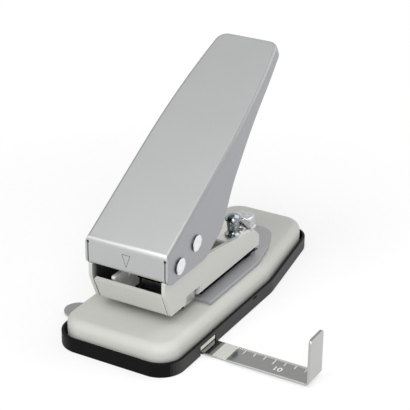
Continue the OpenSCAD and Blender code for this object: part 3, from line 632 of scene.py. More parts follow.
class PUNCH_OT_tray(bpy.types.Operator):
    """Makes the moulded tray with its rim, the ledge for the shell and the tunnel for the gauge"""
    bl_idname = "punch.tray"
    bl_label = "Tray"

    def execute(self, context):
        size = context.scene.punch_base
        wall, rim = size.rim_wall / MM, size.rim_height / MM
        edge, lip, ledge = 0.5, 0.3, 4.4
        # from the underside up the outer wall, over the rim, and down to the ledge and the floor
        profile = [(edge + 0.8, 0), (edge, 0)]
        profile += [(edge * (1 - math.sin(a)), edge * (1 - math.cos(a)))
                    for a in np.linspace(0.3, QUARTER, 5)]
        profile += [(0, 2 * edge), (0, rim - 1.1)]
        profile += [(a, rim - b) for a, b in quarter(edge, 5, 0)[:-1]]
        profile += [(wall - b, rim - a) for a, b in quarter(lip, 3, 0)[:-1]]
        profile += [(wall, rim - 0.8), (wall, SKIRT), (ledge, SKIRT), (ledge, FLOOR), (5, FLOOR)]
        tray = new_object("tray", skin(levels(base_corners(TRAY_CORNER, TRAY_TAIL), profile)))
        inner, cover = BASE_HALF - 3.7, TUNNEL_HALF + TUNNEL_WALL
        roof = block(about(0, inner), about(STRIP_Y, cover), (1.0, SKIRT + TUNNEL_WALL))
        combine(tray, [roof], "UNION")
        cuts = [block(about(0, inner), about(STRIP_Y, TUNNEL_HALF), (-1, SKIRT))]
        for side, _ in SIDES:
            # the notch for the strip, and the slot of the tray's latch
            out = BASE_HALF + 1
            cuts.append(block(span(side, inner - 0.1, out), about(STRIP_Y, NOTCH_HALF), (-1, NOTCH_TOP)))
            cuts.append(block(span(side, BASE_HALF - 0.6, out), (-1, 2.6), (5.2, 6.2)))
        combine(tray, cuts, "DIFFERENCE")
        # flank marks the long sides for their painted sheen
        lay(tray, flank=flank)
        settle(tray, "moulded_black_plastic", "base", ["base_tray"])
        dress(["gauge_guide_left", "gauge_guide_right"], "moulded_white_plastic")
        for side, word in SIDES:
            clip = new_object("gauge_clip_" + word, block(
                span(side, BASE_HALF - 2.4, BASE_HALF - 0.35), about(STRIP_Y, NOTCH_HALF - 0.1),
                (SKIRT, NOTCH_TOP - 0.1), edge=0.2))
            settle(clip, "moulded_white_plastic", "base")
        return {"FINISHED"}


# Frame

PIVOT_Y, PIVOT_Z = -51.1, 42.9
PIN_Z = PIVOT_Z + 5
FRAME_Z, FRAME_T, FRAME_HALF = 18.7, 1.8, 19.6
FRAME_IN = FRAME_HALF - FRAME_T
FRAME_FLOOR = FRAME_Z + FRAME_T
FRAME_FRONT, FRAME_REAR = -61.0, 25.4
EAR_R = 8.3
LEVER_ANGLE = math.radians(30.35)
PLATE_ABOVE, FACE_AHEAD = 11.7, 10  # of the pivot: the lever's top plate, square to itself, and its face
LEVER_TOP = PIVOT_Z + (PLATE_ABOVE - FACE_AHEAD * math.sin(LEVER_ANGLE)) / math.cos(LEVER_ANGLE)
FACE_LOW = LEVER_TOP - 12
SLANT_H, SLANT_RUN = 13.4, 5.8
CHIN_H = 16.4  # above the deck
FIT_HALF = 17.7  # half width of what sits between the frame's walls
GUIDE_LOW, GUIDE_TOP = 16.0, 23.4
BRIDGE_Z, BRIDGE_T = 30.3, 1.6
BOLT_X, BOLT_Y, BOLT_BORE = 13.8, 20.9, 5.2
THUMB_X, THUMB_Y = 13.8, 9.4


def frame_side():
    """Side view of the frame's walls, in y and z, up to the pivot's height."""
    front, back, brow = PIVOT_Y - EAR_R, PIVOT_Y + EAR_R, FACE_LOW - 0.4
    # front edge, lower edge, then the upper edge, which climbs from the rear to the ear
    return [
        [front, PIVOT_Z, 0], [front, brow, 0.3], [FRAME_FRONT, brow, 0.5],
        [FRAME_FRONT, FRAME_Z + SLANT_H, 8], [FRAME_FRONT + SLANT_RUN, FRAME_Z, 3.6],
        [FRAME_REAR, FRAME_Z, 0.6], [FRAME_REAR, DECK + 11, 2.4], [FRAME_REAR - 5.8, DECK + 16.4, 3],
        [-25, DECK + 22.4, 6], [back, DECK + 23.2, 1.5], [back, PIVOT_Z, 0],
    ]


def bolt_bores(low, high):
    """The two bores for the hexagon bolts."""
    return [rod([side * BOLT_X, BOLT_Y], BOLT_BORE, low, high) for side, _ in SIDES]


class PUNCH_OT_frame(bpy.types.Operator):
    """Makes the folded channel with ears, the bent-up chin and the side notches"""
    bl_idname = "punch.frame"
    bl_label = "Frame"

    def execute(self, context):
        bend = context.scene.punch_parts.frame_bend / MM
        top, wide = PIVOT_Z + EAR_R + 1, FRAME_HALF + 1
        low, high = FRAME_Z - 1, FRAME_FLOOR + 1
        section = mirrored([[FRAME_HALF, FRAME_Z, bend], [FRAME_HALF, top, 0], [FRAME_IN, top, 0],
                            [FRAME_IN, FRAME_FLOOR, bend - FRAME_T]])
        channel = new_object("frame", bar(section, FRAME_FRONT - 1, FRAME_REAR + 1, "along"))
        walls = new_object("walls", bar(frame_side(), -wide, wide, "across"))
        combine(walls, [rod([PIVOT_Y, PIVOT_Z], 2 * EAR_R, -wide, wide, "across", 96)], "UNION")
        combine(channel, [walls], "INTERSECT")
        # the open front, the side notches, and the bores of the screw and the bolts
        chin_y = FRAME_FRONT + SLANT_RUN
        cuts = [block(about(0, FRAME_IN), (FRAME_FRONT - 2, chin_y + 3), (low, FRAME_FLOOR + bend)),
                block(about(0, wide), about(PUNCH_Y, 6), (low, FRAME_Z + 4.9)),
                rod([THUMB_X, THUMB_Y], 4.2, low, high)]
        combine(channel, cuts + bolt_bores(low, high), "DIFFERENCE")
        # the chin: the channel's floor bent up between the walls, along their slanting front edge
        rise = CHIN_H - (FRAME_Z - DECK)
        run = SLANT_RUN * rise / SLANT_H
        path = [[chin_y - run, FRAME_Z + rise, 0], [chin_y, FRAME_Z, 3.4], [chin_y + 3.2, FRAME_Z, 0]]
        half = FRAME_IN - 0.4
        combine(channel, [plate(sheet(path, FRAME_T), -half, half, "across")], "UNION")
        # inner: the walls' inner faces, for the painted shade; bend: the faces that look down, for the
        # painted highlight
        lay(channel, inner=lambda at, out: (np.abs(at[0]) < FRAME_IN + 0.05) & (np.abs(out[0]) > 0.9),
            bend=lambda at, out: np.where(np.abs(out[0]) > 0.2, -out[2], 0))
        settle(channel, "stove_enamel_over_primer", "base", ["frame_channel"])
        return {"FINISHED"}


class PUNCH_OT_guide(bpy.types.Operator):
    """Makes the steel guide that shows in the side notches, and dresses the inner steel pieces"""
    bl_idname = "punch.guide"
    bl_label = "Guide"

    def execute(self, context):
        a, b = about(PUNCH_Y, 5.8)
        side = [[a, GUIDE_LOW, 1.5], [b, GUIDE_LOW, 2.4], [b, GUIDE_TOP, 1.4], [a, GUIDE_TOP, 1.4]]
        guide = new_object("guide", plate(side, -FIT_HALF, FIT_HALF, "across", edge=1.3))
        wings = block(about(0, 16.6), (a - 3.4, b + 3.4), (FRAME_FLOOR, GUIDE_TOP))
        combine(guide, [wings], "UNION")
        # room for the carriage's foot, and the blade's slot
        cuts = [block(about(0, 8.9), (a - 5, b + 5), (19.6, GUIDE_TOP + 1)),
                bar(slot_corners([0, PUNCH_Y], 14.08, 3.08), GUIDE_LOW - 1, GUIDE_TOP + 1)]
        combine(guide, cuts, "DIFFERENCE")
        settle(guide, "blackened_steel_ground_ends", "base", ["punch_guide"])
        dress(["die_plate", "riser_block", "spacer_left", "spacer_right", "sleeve_left", "sleeve_right",
               "clamp_bush"], "ground_tool_steel")
        return {"FINISHED"}


class PUNCH_OT_bridge(bpy.types.Operator):
    """Makes the bright bridge plate and the bracket behind the front window"""
    bl_idname = "punch.bridge"
    bl_label = "Bridge and bracket"

    def execute(self, context):
        # the plate's upper face, and its front edge rolled down
        path = [[FRAME_REAR - 0.2, BRIDGE_Z, 0], [0.6, BRIDGE_Z, 2.2], [0.6, BRIDGE_Z - 3.4, 0]]
        bridge = new_object("bridge", plate(sheet(path, BRIDGE_T), -FIT_HALF, FIT_HALF, "across"))
        low, high = 20, 32
        combine(bridge, bolt_bores(low, high) + [rod([THUMB_X, THUMB_Y], 4.1, low, high)], "DIFFERENCE")
        settle(bridge, "pearl_nickel_plate", "base", ["bridge_plate"])
        self.bracket()
        return {"FINISHED"}

    @staticmethod
    def bracket():
        """The bracket: an upright plate on a foot, its front edge sloped like the frame's, with a hole,
        and a strip that carries it on down the wall of the guide."""
        front, low, top = -51.2, FRAME_FLOOR, 31.8
        step = -46.4  # rear end of the foot
        lean = (top - low) * SLANT_RUN / SLANT_H
        corners = [[front, low, 0.2], [PUNCH_Y, low, 0.2], [PUNCH_Y, top, 1],
                   [front - lean - 1, top, 1], [front - 1, low + 1.8, 0.3]]
        bracket = new_object("bracket", plate(corners, -10.9, -9, "across", edge=0.2))
        combine(bracket, [block((-14, -9.2), (front, step), (low, low + 1.5))], "UNION")
        cuts = [rod([-44.7, 28.2], 2.4, -12, -8, "across"),
                block((-12, -8), (step + 0.1, PUNCH_Y + 1), (low - 1, GUIDE_TOP + 0.1))]
        combine(bracket, cuts, "DIFFERENCE")
        strip = block((-9.4, -8.75), (step, PUNCH_Y), (low - 0.6, GUIDE_TOP + 0.3))
        combine(bracket, [strip], "UNION")
        settle(bracket, "white_zinc_plate", "base", ["window_bracket"])


class PUNCH_OT_fasteners(bpy.types.Operator):
    """Makes the hexagon bolts, washers, the pivot rivet and the drive pin, and dresses the nuts"""
    bl_idname = "punch.fasteners"
    bl_label = "Fasteners"

    def execute(self, context):
        # a washer, and on it the bolt, whose shank reaches down through the deck
        seat, foot = BRIDGE_Z + 1, 7.7
        profile = [(0, foot), (2.1, foot), (2.5, foot + 0.4), (2.5, seat + 0.2), (0, seat + 0.2)]
        ring = [(2.6, BRIDGE_Z), (3.7, BRIDGE_Z), (3.8, BRIDGE_Z + 0.1), (3.8, seat - 0.15),
                (3.65, seat), (2.7, seat), (2.6, seat - 0.1)]
        for side, word in SIDES:
            at = [side * BOLT_X, BOLT_Y, 0]
            head, shank = self.hexagon(9, seat, seat + 4.8, 0.9), turned(profile)
            bolt = new_object("bolt_" + word, join([moved(head, at), moved(shank, at)]))
            settle(bolt, "bright_zinc_plate", "base", ["hex_bolt_" + word])
            washer = new_object("washer_" + word, moved(self.band(ring), at))
            settle(washer, "bright_zinc_plate", "base", ["washer_" + word])
            dress(["hex_nut_" + word], "bright_zinc_plate")
        self.headed("rivet", 5, PIVOT_Y, PIVOT_Z, LEVER_HALF + 0.1, "base", "pivot_rivet")
        self.headed("drive_pin", 4, PUNCH_Y, PIN_Z, LEVER_HALF, "lever", "drive_pin")
        return {"FINISHED"}

    def headed(self, name, d, y, z, half, body, node):
        """A round bar across the lever, with a domed head at each end."""
        cap, reach = self.head(3.8, 1.5, 0.8), half + 0.1
        heads = [lying(cap, side, [side * half, y, z]) for side, _ in SIDES]
        piece = new_object(name, join(heads + [rod([y, z], d, -reach, reach, "across")]))
        # flank marks the rims for their painted shade
        lay(piece, flank=flank)
        settle(piece, "polished_rivet_steel", body, [node])

    @staticmethod
    def hexagon(flat, low, high, chamfer):
        """A bolt head: at each height the radius is the smaller of the hexagon's, which is
        flat / 2 / cos of the angle from the middle of its side, and a cone's that falls at the top."""
        t = circle(96)
        six = flat / 2 / np.cos((t + np.pi / 6) % (np.pi / 3) - np.pi / 6)
        h = np.concatenate([[low, low + 0.01], np.linspace(high - chamfer, high, 8)])
        cone = flat / 2 / math.cos(np.pi / 6) - np.clip(h - high + chamfer, 0, None) * 1.1
        r = np.minimum(six, cone[:, None])
        r = np.vstack([r, np.full_like(t, r[-1].min() * 0.9)])
        return skin(revolved(r, np.append(h, high)[:, None], t))

    @staticmethod
    def head(radius, rise, rim):
        """A domed head: a rim, and on it a cap of a ball whose radius is (radius^2 + h^2) / 2h for the
        height h of the cap, with the corner between them eased."""
        h = rise - rim
        ball = (radius ** 2 + h ** 2) / (2 * h)
        a = np.linspace(math.asin(radius / ball) * 0.93, 0, 14)
        curve = [(ball * math.sin(x), rise - ball + ball * math.cos(x)) for x in a]
        return turned([(radius - 0.1, 0), (radius, 0.08), (radius, rim - 0.1)] + curve, 96)

    @staticmethod
    def band(section, segments=64):
        """A ring with the given (radius, height) section."""
        rings = revolved(*np.asarray(section, float).T, circle(segments)[:, None])
        return skin(rings[::-1], wrap=True)


# Lever

LEVER_L, LEVER_HALF, LEVER_END_HALF = 126.4, 21.0, 15.7
WAIST, WAIST_R = 85.3, 460  # where the plan narrows, along the slope, and the curve there
HANDLE_DEEP, HANDLE_END_DEEP = 7.7, 5.2
FACE_Y = PIVOT_Y - FACE_AHEAD


def from_lever(points):
    """Turns points given square to the lever's top plate into the object's frame."""
    c, s = math.cos(LEVER_ANGLE), math.sin(LEVER_ANGLE)
    x, y, z = points[..., 0], points[..., 1], points[..., 2]
    return np.stack([x, FACE_Y + c * y - s * z, LEVER_TOP + s * y + c * z], -1)


def lever_bar(d, r, deep, steps):
    """A bar square to the top plate with a quarter round along its upper edge."""
    plan = mirrored([[LEVER_HALF, -LEVER_L / 4, 0], [LEVER_HALF, WAIST, WAIST_R],
                     [LEVER_END_HALF, LEVER_L, 6]])
    profile = [(d, -deep), (d, -d - r - 0.4)]
    profile += [(d + a, -d - b) for a, b in quarter(r, steps, 0.4)]
    v, faces = skin(levels(plan, profile, 24))
    return from_lever(v), faces


def lever_side(front_bend):
    """Side view of the lever in y and z: face plate, flange edge, handle edge, top plate."""
    slope, c = math.tan(LEVER_ANGLE), math.cos(LEVER_ANGLE)
    low, end_y = PIVOT_Z - 6.3, FACE_Y + LEVER_L * c
    hollow = LEVER_TOP - HANDLE_DEEP / c
    # a steep edge through the knee meets the handle's lower edge
    knee_y, knee_z, steep = PIVOT_Y + 47.2, PIVOT_Z + 21.4, math.tan(math.radians(50))
    meet = (knee_z - steep * (knee_y - FACE_Y) - hollow) / (slope - steep)
    far = end_y + LEVER_L * math.sin(LEVER_ANGLE)
    return [
        [FACE_Y, low, 4], [PIVOT_Y + 22.8, low, 12], [PIVOT_Y + 37.3, PIVOT_Z + 2.4, 5],
        [knee_y, knee_z, 50], [FACE_Y + meet, hollow + slope * meet, 110],
        [end_y, hollow + slope * (end_y - FACE_Y) + (HANDLE_DEEP - HANDLE_END_DEEP) / c, 0],
        [far, LEVER_TOP + slope * (far - FACE_Y), 0], [FACE_Y, LEVER_TOP, front_bend],
    ]


class PUNCH_OT_lever(bpy.types.Operator):
    """Makes the pressed lever with side flanges and the face plate between slits"""
    bl_idname = "punch.lever"
    bl_label = "Lever"

    def execute(self, context):
        size = context.scene.punch_lever
        bend, nose, t = size.bend / MM, size.front_bend / MM, size.wall / MM
        w = 2 * LEVER_HALF
        slope, far = math.tan(LEVER_ANGLE), FACE_Y + 2 * LEVER_L
        # the outer form, less the same form one sheet further in
        lever = new_object("lever", lever_bar(0, bend, LEVER_L, 8))
        combine(lever, [bar(lever_side(nose), -w, w, "across", 20)], "INTERSECT")
        top = LEVER_TOP - t / math.cos(LEVER_ANGLE)
        room = [[FACE_Y + t, PIVOT_Z - w, 0], [far, PIVOT_Z - w, 0],
                [far, top + slope * (far - FACE_Y), 0], [FACE_Y + t, top + slope * t, nose - t]]
        hollow = new_object("hollow", lever_bar(t, bend - t, LEVER_L + 1, 5))
        combine(hollow, [bar(room, -w, w, "across", 12)], "INTERSECT")
        before, behind = FACE_Y - 1, FACE_Y + 2.4
        cuts = [hollow, block(about(0, w), (before, FACE_Y + 1.8), (PIVOT_Z - w, FACE_LOW))]
        # a slit parts the face plate from each side, with a round relief at its upper end
        slit, relief = 0.5, 1.3
        inner, slit_top = LEVER_HALF - t, LEVER_TOP - nose / 2
        for side, _ in SIDES:
            cuts.append(block(span(side, inner - slit, inner), (before, behind), (FACE_LOW - 1, slit_top)))
            cuts.append(rod([side * (inner - slit / 2), slit_top], relief, before, behind, "along"))
        cuts.append(rod([PIVOT_Y, PIVOT_Z], 5.1, -w, w, "across"))
        combine(lever, cuts, "DIFFERENCE")
        # flank and front mark the faces for the painted shade on the sides and side bends and the painted
        # light on the nose and face
        lay(lever, flank=flank, front=lambda at, out: -out[1])
        settle(lever, "satin_nickel_plate", "lever", ["lever"], angle=25)
        return {"FINISHED"}


class PUNCH_OT_mark(bpy.types.Operator):
    """Makes the plain pointing mark on the face plate"""
    bl_idname = "punch.mark"
    bl_label = "Pointing mark"

    def execute(self, context):
        middle, width = 43.9, 0.22
        ring = [[0, middle - 3.2, 0.05], [2.2, middle + 3.2, 0.05], [-2.2, middle + 3.2, 0.05]]
        outer, inner = outline(ring, 2), outline(inset(ring, width), 2)
        front, back = FACE_Y - 0.02, FACE_Y + 0.05
        rings = np.stack([np.stack([p[:, 0], np.full(len(p), y), p[:, 1]], -1)
                          for p, y in ((outer, back), (outer, front), (inner, front), (inner, back))])
        mark = new_object("pointing_mark", skin(rings[::-1], wrap=True))
        settle(mark, "dark_fill_paint", "lever")
        return {"FINISHED"}


# Punch

ARM_Z = 40.0
SPRING_X, SPRING_TOP = 13.9, ARM_Z - 0.05


class PUNCH_OT_carriage(bpy.types.Operator):
    """Makes the blackened carriage and dresses the blade"""
    bl_idname = "punch.carriage"
    bl_label = "Carriage"

    def execute(self, context):
        y, low, top, deep, wide = PUNCH_Y, 26.2, PIN_Z + 4.2, 5.5, 6
        edge = 0.15
        foot = new_object("carriage", block(about(0, 8.5), about(y, 3), (low, low + 4.8), edge))
        cheek = plate([[y - deep, ARM_Z - 1, 0.2], [y + deep, ARM_Z - 1, 0.2], [y + deep, top, 3],
                       [y - deep, top, 3]], -wide, wide, "across")
        web = block(about(0, wide), about(y, deep), (low, ARM_Z + 0.5), edge)
        arms = block(about(0, 17), about(y, 4), (ARM_Z, ARM_Z + 4), edge)
        combine(foot, [web, arms, cheek], "UNION")
        # the pin's slot, longer towards the rear
        room = 2.06
        a, b, r = y - room, y + 3.16, room - TINY
        slot = [[a, PIN_Z - room, r], [b, PIN_Z - room, r], [b, PIN_Z + room, r], [a, PIN_Z + room, r]]
        combine(foot, [bar(slot, -8, 8, "across")], "DIFFERENCE")
        settle(foot, "blackened_steel", "punch", ["punch_carriage"])
        dress(["punch_blade"], "ground_tool_steel")
        return {"FINISHED"}


class PUNCH_OT_springs(bpy.types.Operator):
    """Makes the two return springs"""
    bl_idname = "punch.springs"
    bl_label = "Return springs"

    def execute(self, context):
        wire = context.scene.punch_parts.wire / MM
        for side, word in SIDES:
            x = side * SPRING_X
            spring = new_object("spring_" + word, self.coil(wire, x))
            settle(spring, "drawn_spring_wire", "punch", ["return_spring_" + word])
            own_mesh(spring)
        return {"FINISHED"}

    @staticmethod
    def coil(wire, x, radius=2.3, turns=6, rings=24, sides=10):
        """A helix of the given radius that climbs evenly between the seats, its wire a ring of points
        round each step of the path, square to the way it runs."""
        low = GUIDE_TOP + 0.05
        t = np.linspace(0, 1, turns * rings + 1)
        a = 2 * np.pi * turns * t
        path = revolved(radius, low + wire / 2 + (SPRING_TOP - low - wire) * t, a)
        path = np.vstack([path[0] - [0, wire, 0], path, path[-1] + [0, wire, 0]])
        ahead = unit(np.gradient(path, axis=0))
        side = unit(np.cross([0, 0, 1.0], ahead))
        lift = np.cross(ahead, side)
        k = circle(sides)[:, None]
        tube = path[:, None] + wire / 2 * (side[:, None] * np.cos(k) + lift[:, None] * np.sin(k))
        return skin(tube + [x, PUNCH_Y, 0])


# Gauges

STRIP_LOW, STRIP_T = 0.9, 1.2
STOP_X, STOP_Z = 83.6, 23.3
STRIP_R = 2.4 - STRIP_T / 2  # of the strip's middle line, in its bend
STRIP_MIDDLE = STRIP_LOW + STRIP_T / 2
# places along the strip: where its bend begins and ends, its upper end, and the middle of its round head
BEND_START = STOP_X - 2.4
BEND_END = BEND_START + STRIP_R * QUARTER
STRIP_END = BEND_END + STOP_Z - STRIP_MIDDLE - STRIP_R
HEAD_X, HEAD_R = -36.6, 7.0
CORNER_R = 2  # of the stop


def bent(along, height):
    """Place of a point that lies along millimetres down the strip and height above its middle: flat,
    then a quarter bend, (R - height) sin a across and R - (R - height) cos a up, then straight up."""
    a = np.clip((along - BEND_START) / STRIP_R, 0, QUARTER)
    past = np.clip(along - BEND_END, 0, None)
    x = np.minimum(along, BEND_START) + (STRIP_R - height) * np.sin(a)
    return x, STRIP_MIDDLE + STRIP_R - (STRIP_R - height) * np.cos(a) + past


def strip_edges(s):
    """The strip's near and far edge in y at places s along it: a round head, sqrt(R^2 - x^2) to both
    sides of its middle, that runs into the straight edges, and rounded corners at the stop."""
    centre = STRIP_Y - 2.4
    low = np.full_like(s, STRIP_Y - STRIP_HALF)
    high = np.full_like(s, STRIP_Y + STRIP_HALF)
    reach = np.sqrt(np.clip(HEAD_R ** 2 - (s - HEAD_X) ** 2, 0, None))
    before = s < HEAD_X
    near = np.minimum(np.where(before, np.inf, low), centre - reach)
    low = np.where(s < HEAD_X + HEAD_R, near, low)
    # the far edge eases from the head to the strip over 2.2 mm
    blend = np.clip((s - HEAD_X) / 2.2, 0, 1)
    blend = blend * blend * (3 - 2 * blend)
    high = np.where(before, centre + reach, (centre + reach) * (1 - blend) + high * blend)
    past = np.clip((s - (STRIP_END - CORNER_R)) / CORNER_R, 0, 0.999)
    tuck = CORNER_R * (1 - np.sqrt(1 - past ** 2))
    return low + tuck, high - tuck


class PUNCH_OT_gauge(bpy.types.Operator):
    """Makes the side gauge: strip with round end, upturned stop, marks and number"""
    bl_idname = "punch.gauge"
    bl_label = "Side gauge"

    def execute(self, context):
        self.strip()
        top, edge = STRIP_LOW + STRIP_T, STRIP_Y + STRIP_HALF - 0.32
        half = context.scene.punch_parts.tick / MM / 2
        # a tick each millimetre, longer ones each fifth, and the longest at the number
        zero, pitch, numbered = 47.3, 1.005, 15
        parts = []
        for j in range(-4, 34):
            x = zero + pitch * j
            deep = 5.4 if j == numbered else 4.0 if j % 5 == 0 else 1.4
            parts.append(block(about(x, half), (edge - deep, edge), (top - 0.05, top + 0.015)))
        marks = new_object("gauge_marks", join(parts))
        settle(marks, "white_fill_paint", "side_gauge")
        self.number("10", 4.6, [66.2, edge - 9.3, top])
        return {"FINISHED"}

    @staticmethod
    def strip():
        """The strip as rings along its length, each with four rounded corners."""
        a = np.linspace(QUARTER - 0.02, 0, 18)
        s = np.concatenate([
            HEAD_X - HEAD_R * np.sin(a), HEAD_X + HEAD_R * np.linspace(0.05, 0.95, 14),
            [-25, 0, 40, BEND_START - 0.5], np.linspace(BEND_START, BEND_END, 14),
            [STRIP_END - 12, STRIP_END - CORNER_R - 0.5],
            STRIP_END - CORNER_R + CORNER_R * np.sin(np.linspace(0, QUARTER, 8)),
        ])
        low, high = strip_edges(s)
        edge, t = 0.3, STRIP_T / 2
        k = np.linspace(0, QUARTER, 4)
        arc = np.stack([edge * np.sin(k), edge * np.cos(k)], -1)
        rings = []
        for sy, sz in ((1, 1), (1, -1), (-1, -1), (-1, 1)):
            for across, lift in arc if sy == sz else arc[::-1]:
                y = high - edge + across if sy > 0 else low + edge - across
                x, z = bent(s, sz * (t - edge + lift))
                rings.append(np.stack([x, y, z], -1))
        strip = new_object("side_gauge", skin(np.stack(rings, 1)[:, ::-1]))
        # upright marks the stop and edges for their painted light
        lay(strip, upright=lambda at, out: 1 - np.abs(out[2]))
        settle(strip, "rubbed_chromium_plate", "side_gauge", ["gauge_strip"])

    @staticmethod
    def number(words, size, at):
        """A plain number as a thin raised mesh, read from the front."""
        curve = bpy.data.curves.new("gauge_number", "FONT")
        curve.body, curve.size, curve.extrude = words, size * MM, 0.015 * MM
        curve.align_x = "CENTER"
        text = bpy.data.objects.new("text", curve)
        bpy.context.scene.collection.objects.link(text)
        bpy.context.view_layer.update()
        mesh = bpy.data.meshes.new_from_object(text.evaluated_get(bpy.context.evaluated_depsgraph_get()))
        bpy.data.objects.remove(text)
        mesh.transform(Matrix.Translation(Vector(at) * MM))
        number = bpy.data.objects.new("gauge_number", mesh)
        bpy.context.scene.collection.objects.link(number)
        settle(number, "white_fill_paint", "side_gauge")


class PUNCH_OT_depth(bpy.types.Operator):
    """Makes the grey depth plate with its tapered tongue, and dark strips under the frame: painted shade"""
    bl_idname = "punch.depth"
    bl_label = "Depth plate"

    def execute(self, context):
        # the front edge is the stop for the card, the tongue runs out behind the frame
        front, half = PUNCH_Y + 7.7, 24.4
        corners = mirrored([[half, front, 1], [half, front + 45.5, 16], [21.2, front + 61.2, 24],
                            [14, front + 79.6, 9]])
        low, high = DECK + 0.1, DECK + 2.0
        rear, wide = FRAME_REAR + 2.5, BOLT_X + 4.1
        depth = new_object("depth_plate", plate(corners, low, high, edge=0.25))
        # a window round the riser block, wider round the spacers of the bolts
        combine(depth, [block(about(0, 8.5), (-18.5, rear), (low - 1, high + 1)),
                        block(about(0, wide), (BOLT_Y - 8.1, rear), (low - 1, high + 1))], "DIFFERENCE")
        settle(depth, "grey_metal_lacquer", "depth_gauge", ["depth_plate"])
        # dark strips in the gap under the frame's walls: painted shade where the gap lies in shadow
        for side, word in SIDES:
            shade_strip = new_object("rail_" + word, block(
                span(side, 16.0, 17.5), (-26, 25.2), (high + 0.12, FRAME_Z + 0.02), edge=0.1))
            settle(shade_strip, "blackened_steel", "base")
        return {"FINISHED"}


class PUNCH_OT_thumbscrew(bpy.types.Operator):
    """Makes the thumbscrew with its flange, waist, knurled body and cap"""
    bl_idname = "punch.thumbscrew"
    bl_label = "Thumbscrew"

    def execute(self, context):
        depth = context.scene.punch_parts.knurl / MM
        seat = BRIDGE_Z + 0.1
        body, cap = seat + 2.8, seat + 7.8
        waist_r, cap_r = 2.5, 3.9
        # shank, flange and waist; the knurled body, which widens a little; the domed cap
        lower = [(0, 16.2), (2, 16.2), (2, seat), (3.55, seat), (3.75, seat + 0.12), (3.8, seat + 0.35),
                 (3.8, seat + 0.75), (3.65, seat + 1.05), (3.2, seat + 1.3), (2.7, seat + 1.6),
                 (waist_r, seat + 1.95), (2.45, seat + 2.4)]
        h = np.linspace(body, cap - 0.15, 48)
        grip = list(zip(waist_r + 0.6 * (h - body) / (cap - body), h))
        upper = [(3.1, cap - 0.05), (3.7, cap), (3.86, cap + 0.15), (cap_r, cap + 0.4)]
        a = np.linspace(0, QUARTER, 16)
        upper += list(zip(cap_r * np.cos(a), cap + 0.6 + 2.8 * np.sin(a)))
        p = np.array(lower + grip + upper)
        t = circle(192)
        r = np.maximum(p[:, 0], TINY)[:, None] + 0 * t
        # knurl: two sets of crossing grooves, each a triangle wave over the angle and the height
        grooves, pitch, flat = 24, 0.86, 0.35
        turn, climb = t * grooves / (2 * np.pi), p[:, 1][:, None] / pitch
        wave = np.maximum(np.abs((turn + climb) % 1 * 2 - 1), np.abs((turn - climb) % 1 * 2 - 1))
        at = slice(len(lower), len(lower) + len(grip))
        r[at] -= depth * (wave[at] - flat).clip(0)
        rings = revolved(r, p[:, 1][:, None], t)
        screw = new_object("thumbscrew", skin(rings + [THUMB_X, THUMB_Y, 0]))
        settle(screw, "polished_chromium_plate", "clamp_screw", ["thumbscrew"])
        return {"FINISHED"}


# Stage

# name, place, point it faces, side in mm and watts
LAMPS = (
    ("lamp_key", (-20, -420, 640), (0, -10, 30), 520, 2.9),
    ("lamp_rear", (300, 380, 560), (0, -10, 30), 600, 1.8),
    ("lamp_front", (380, -560, 480), (0, -20, 30), 260, 1.3),
    ("lamp_low", (560, -680, 200), (0, -40, 30), 300, 1.7),
)
WHITE = linear("#FFFFFF")
FLOOR_GLOW, WORLD_GLOW = 0.8, 0.3  # light that floor and world give where the camera doesn't see them
# the photograph's camera: azimuth, elevation and roll in degrees, place in mm, focal length in pixels
AZIMUTH, ELEVATION, ROLL = 29.635, 25.296, 0.566
CAMERA_AT = (303.56, -526.36, 333.38)
FOCAL, PICTURE, SENSOR = 1451.967, 410, 36


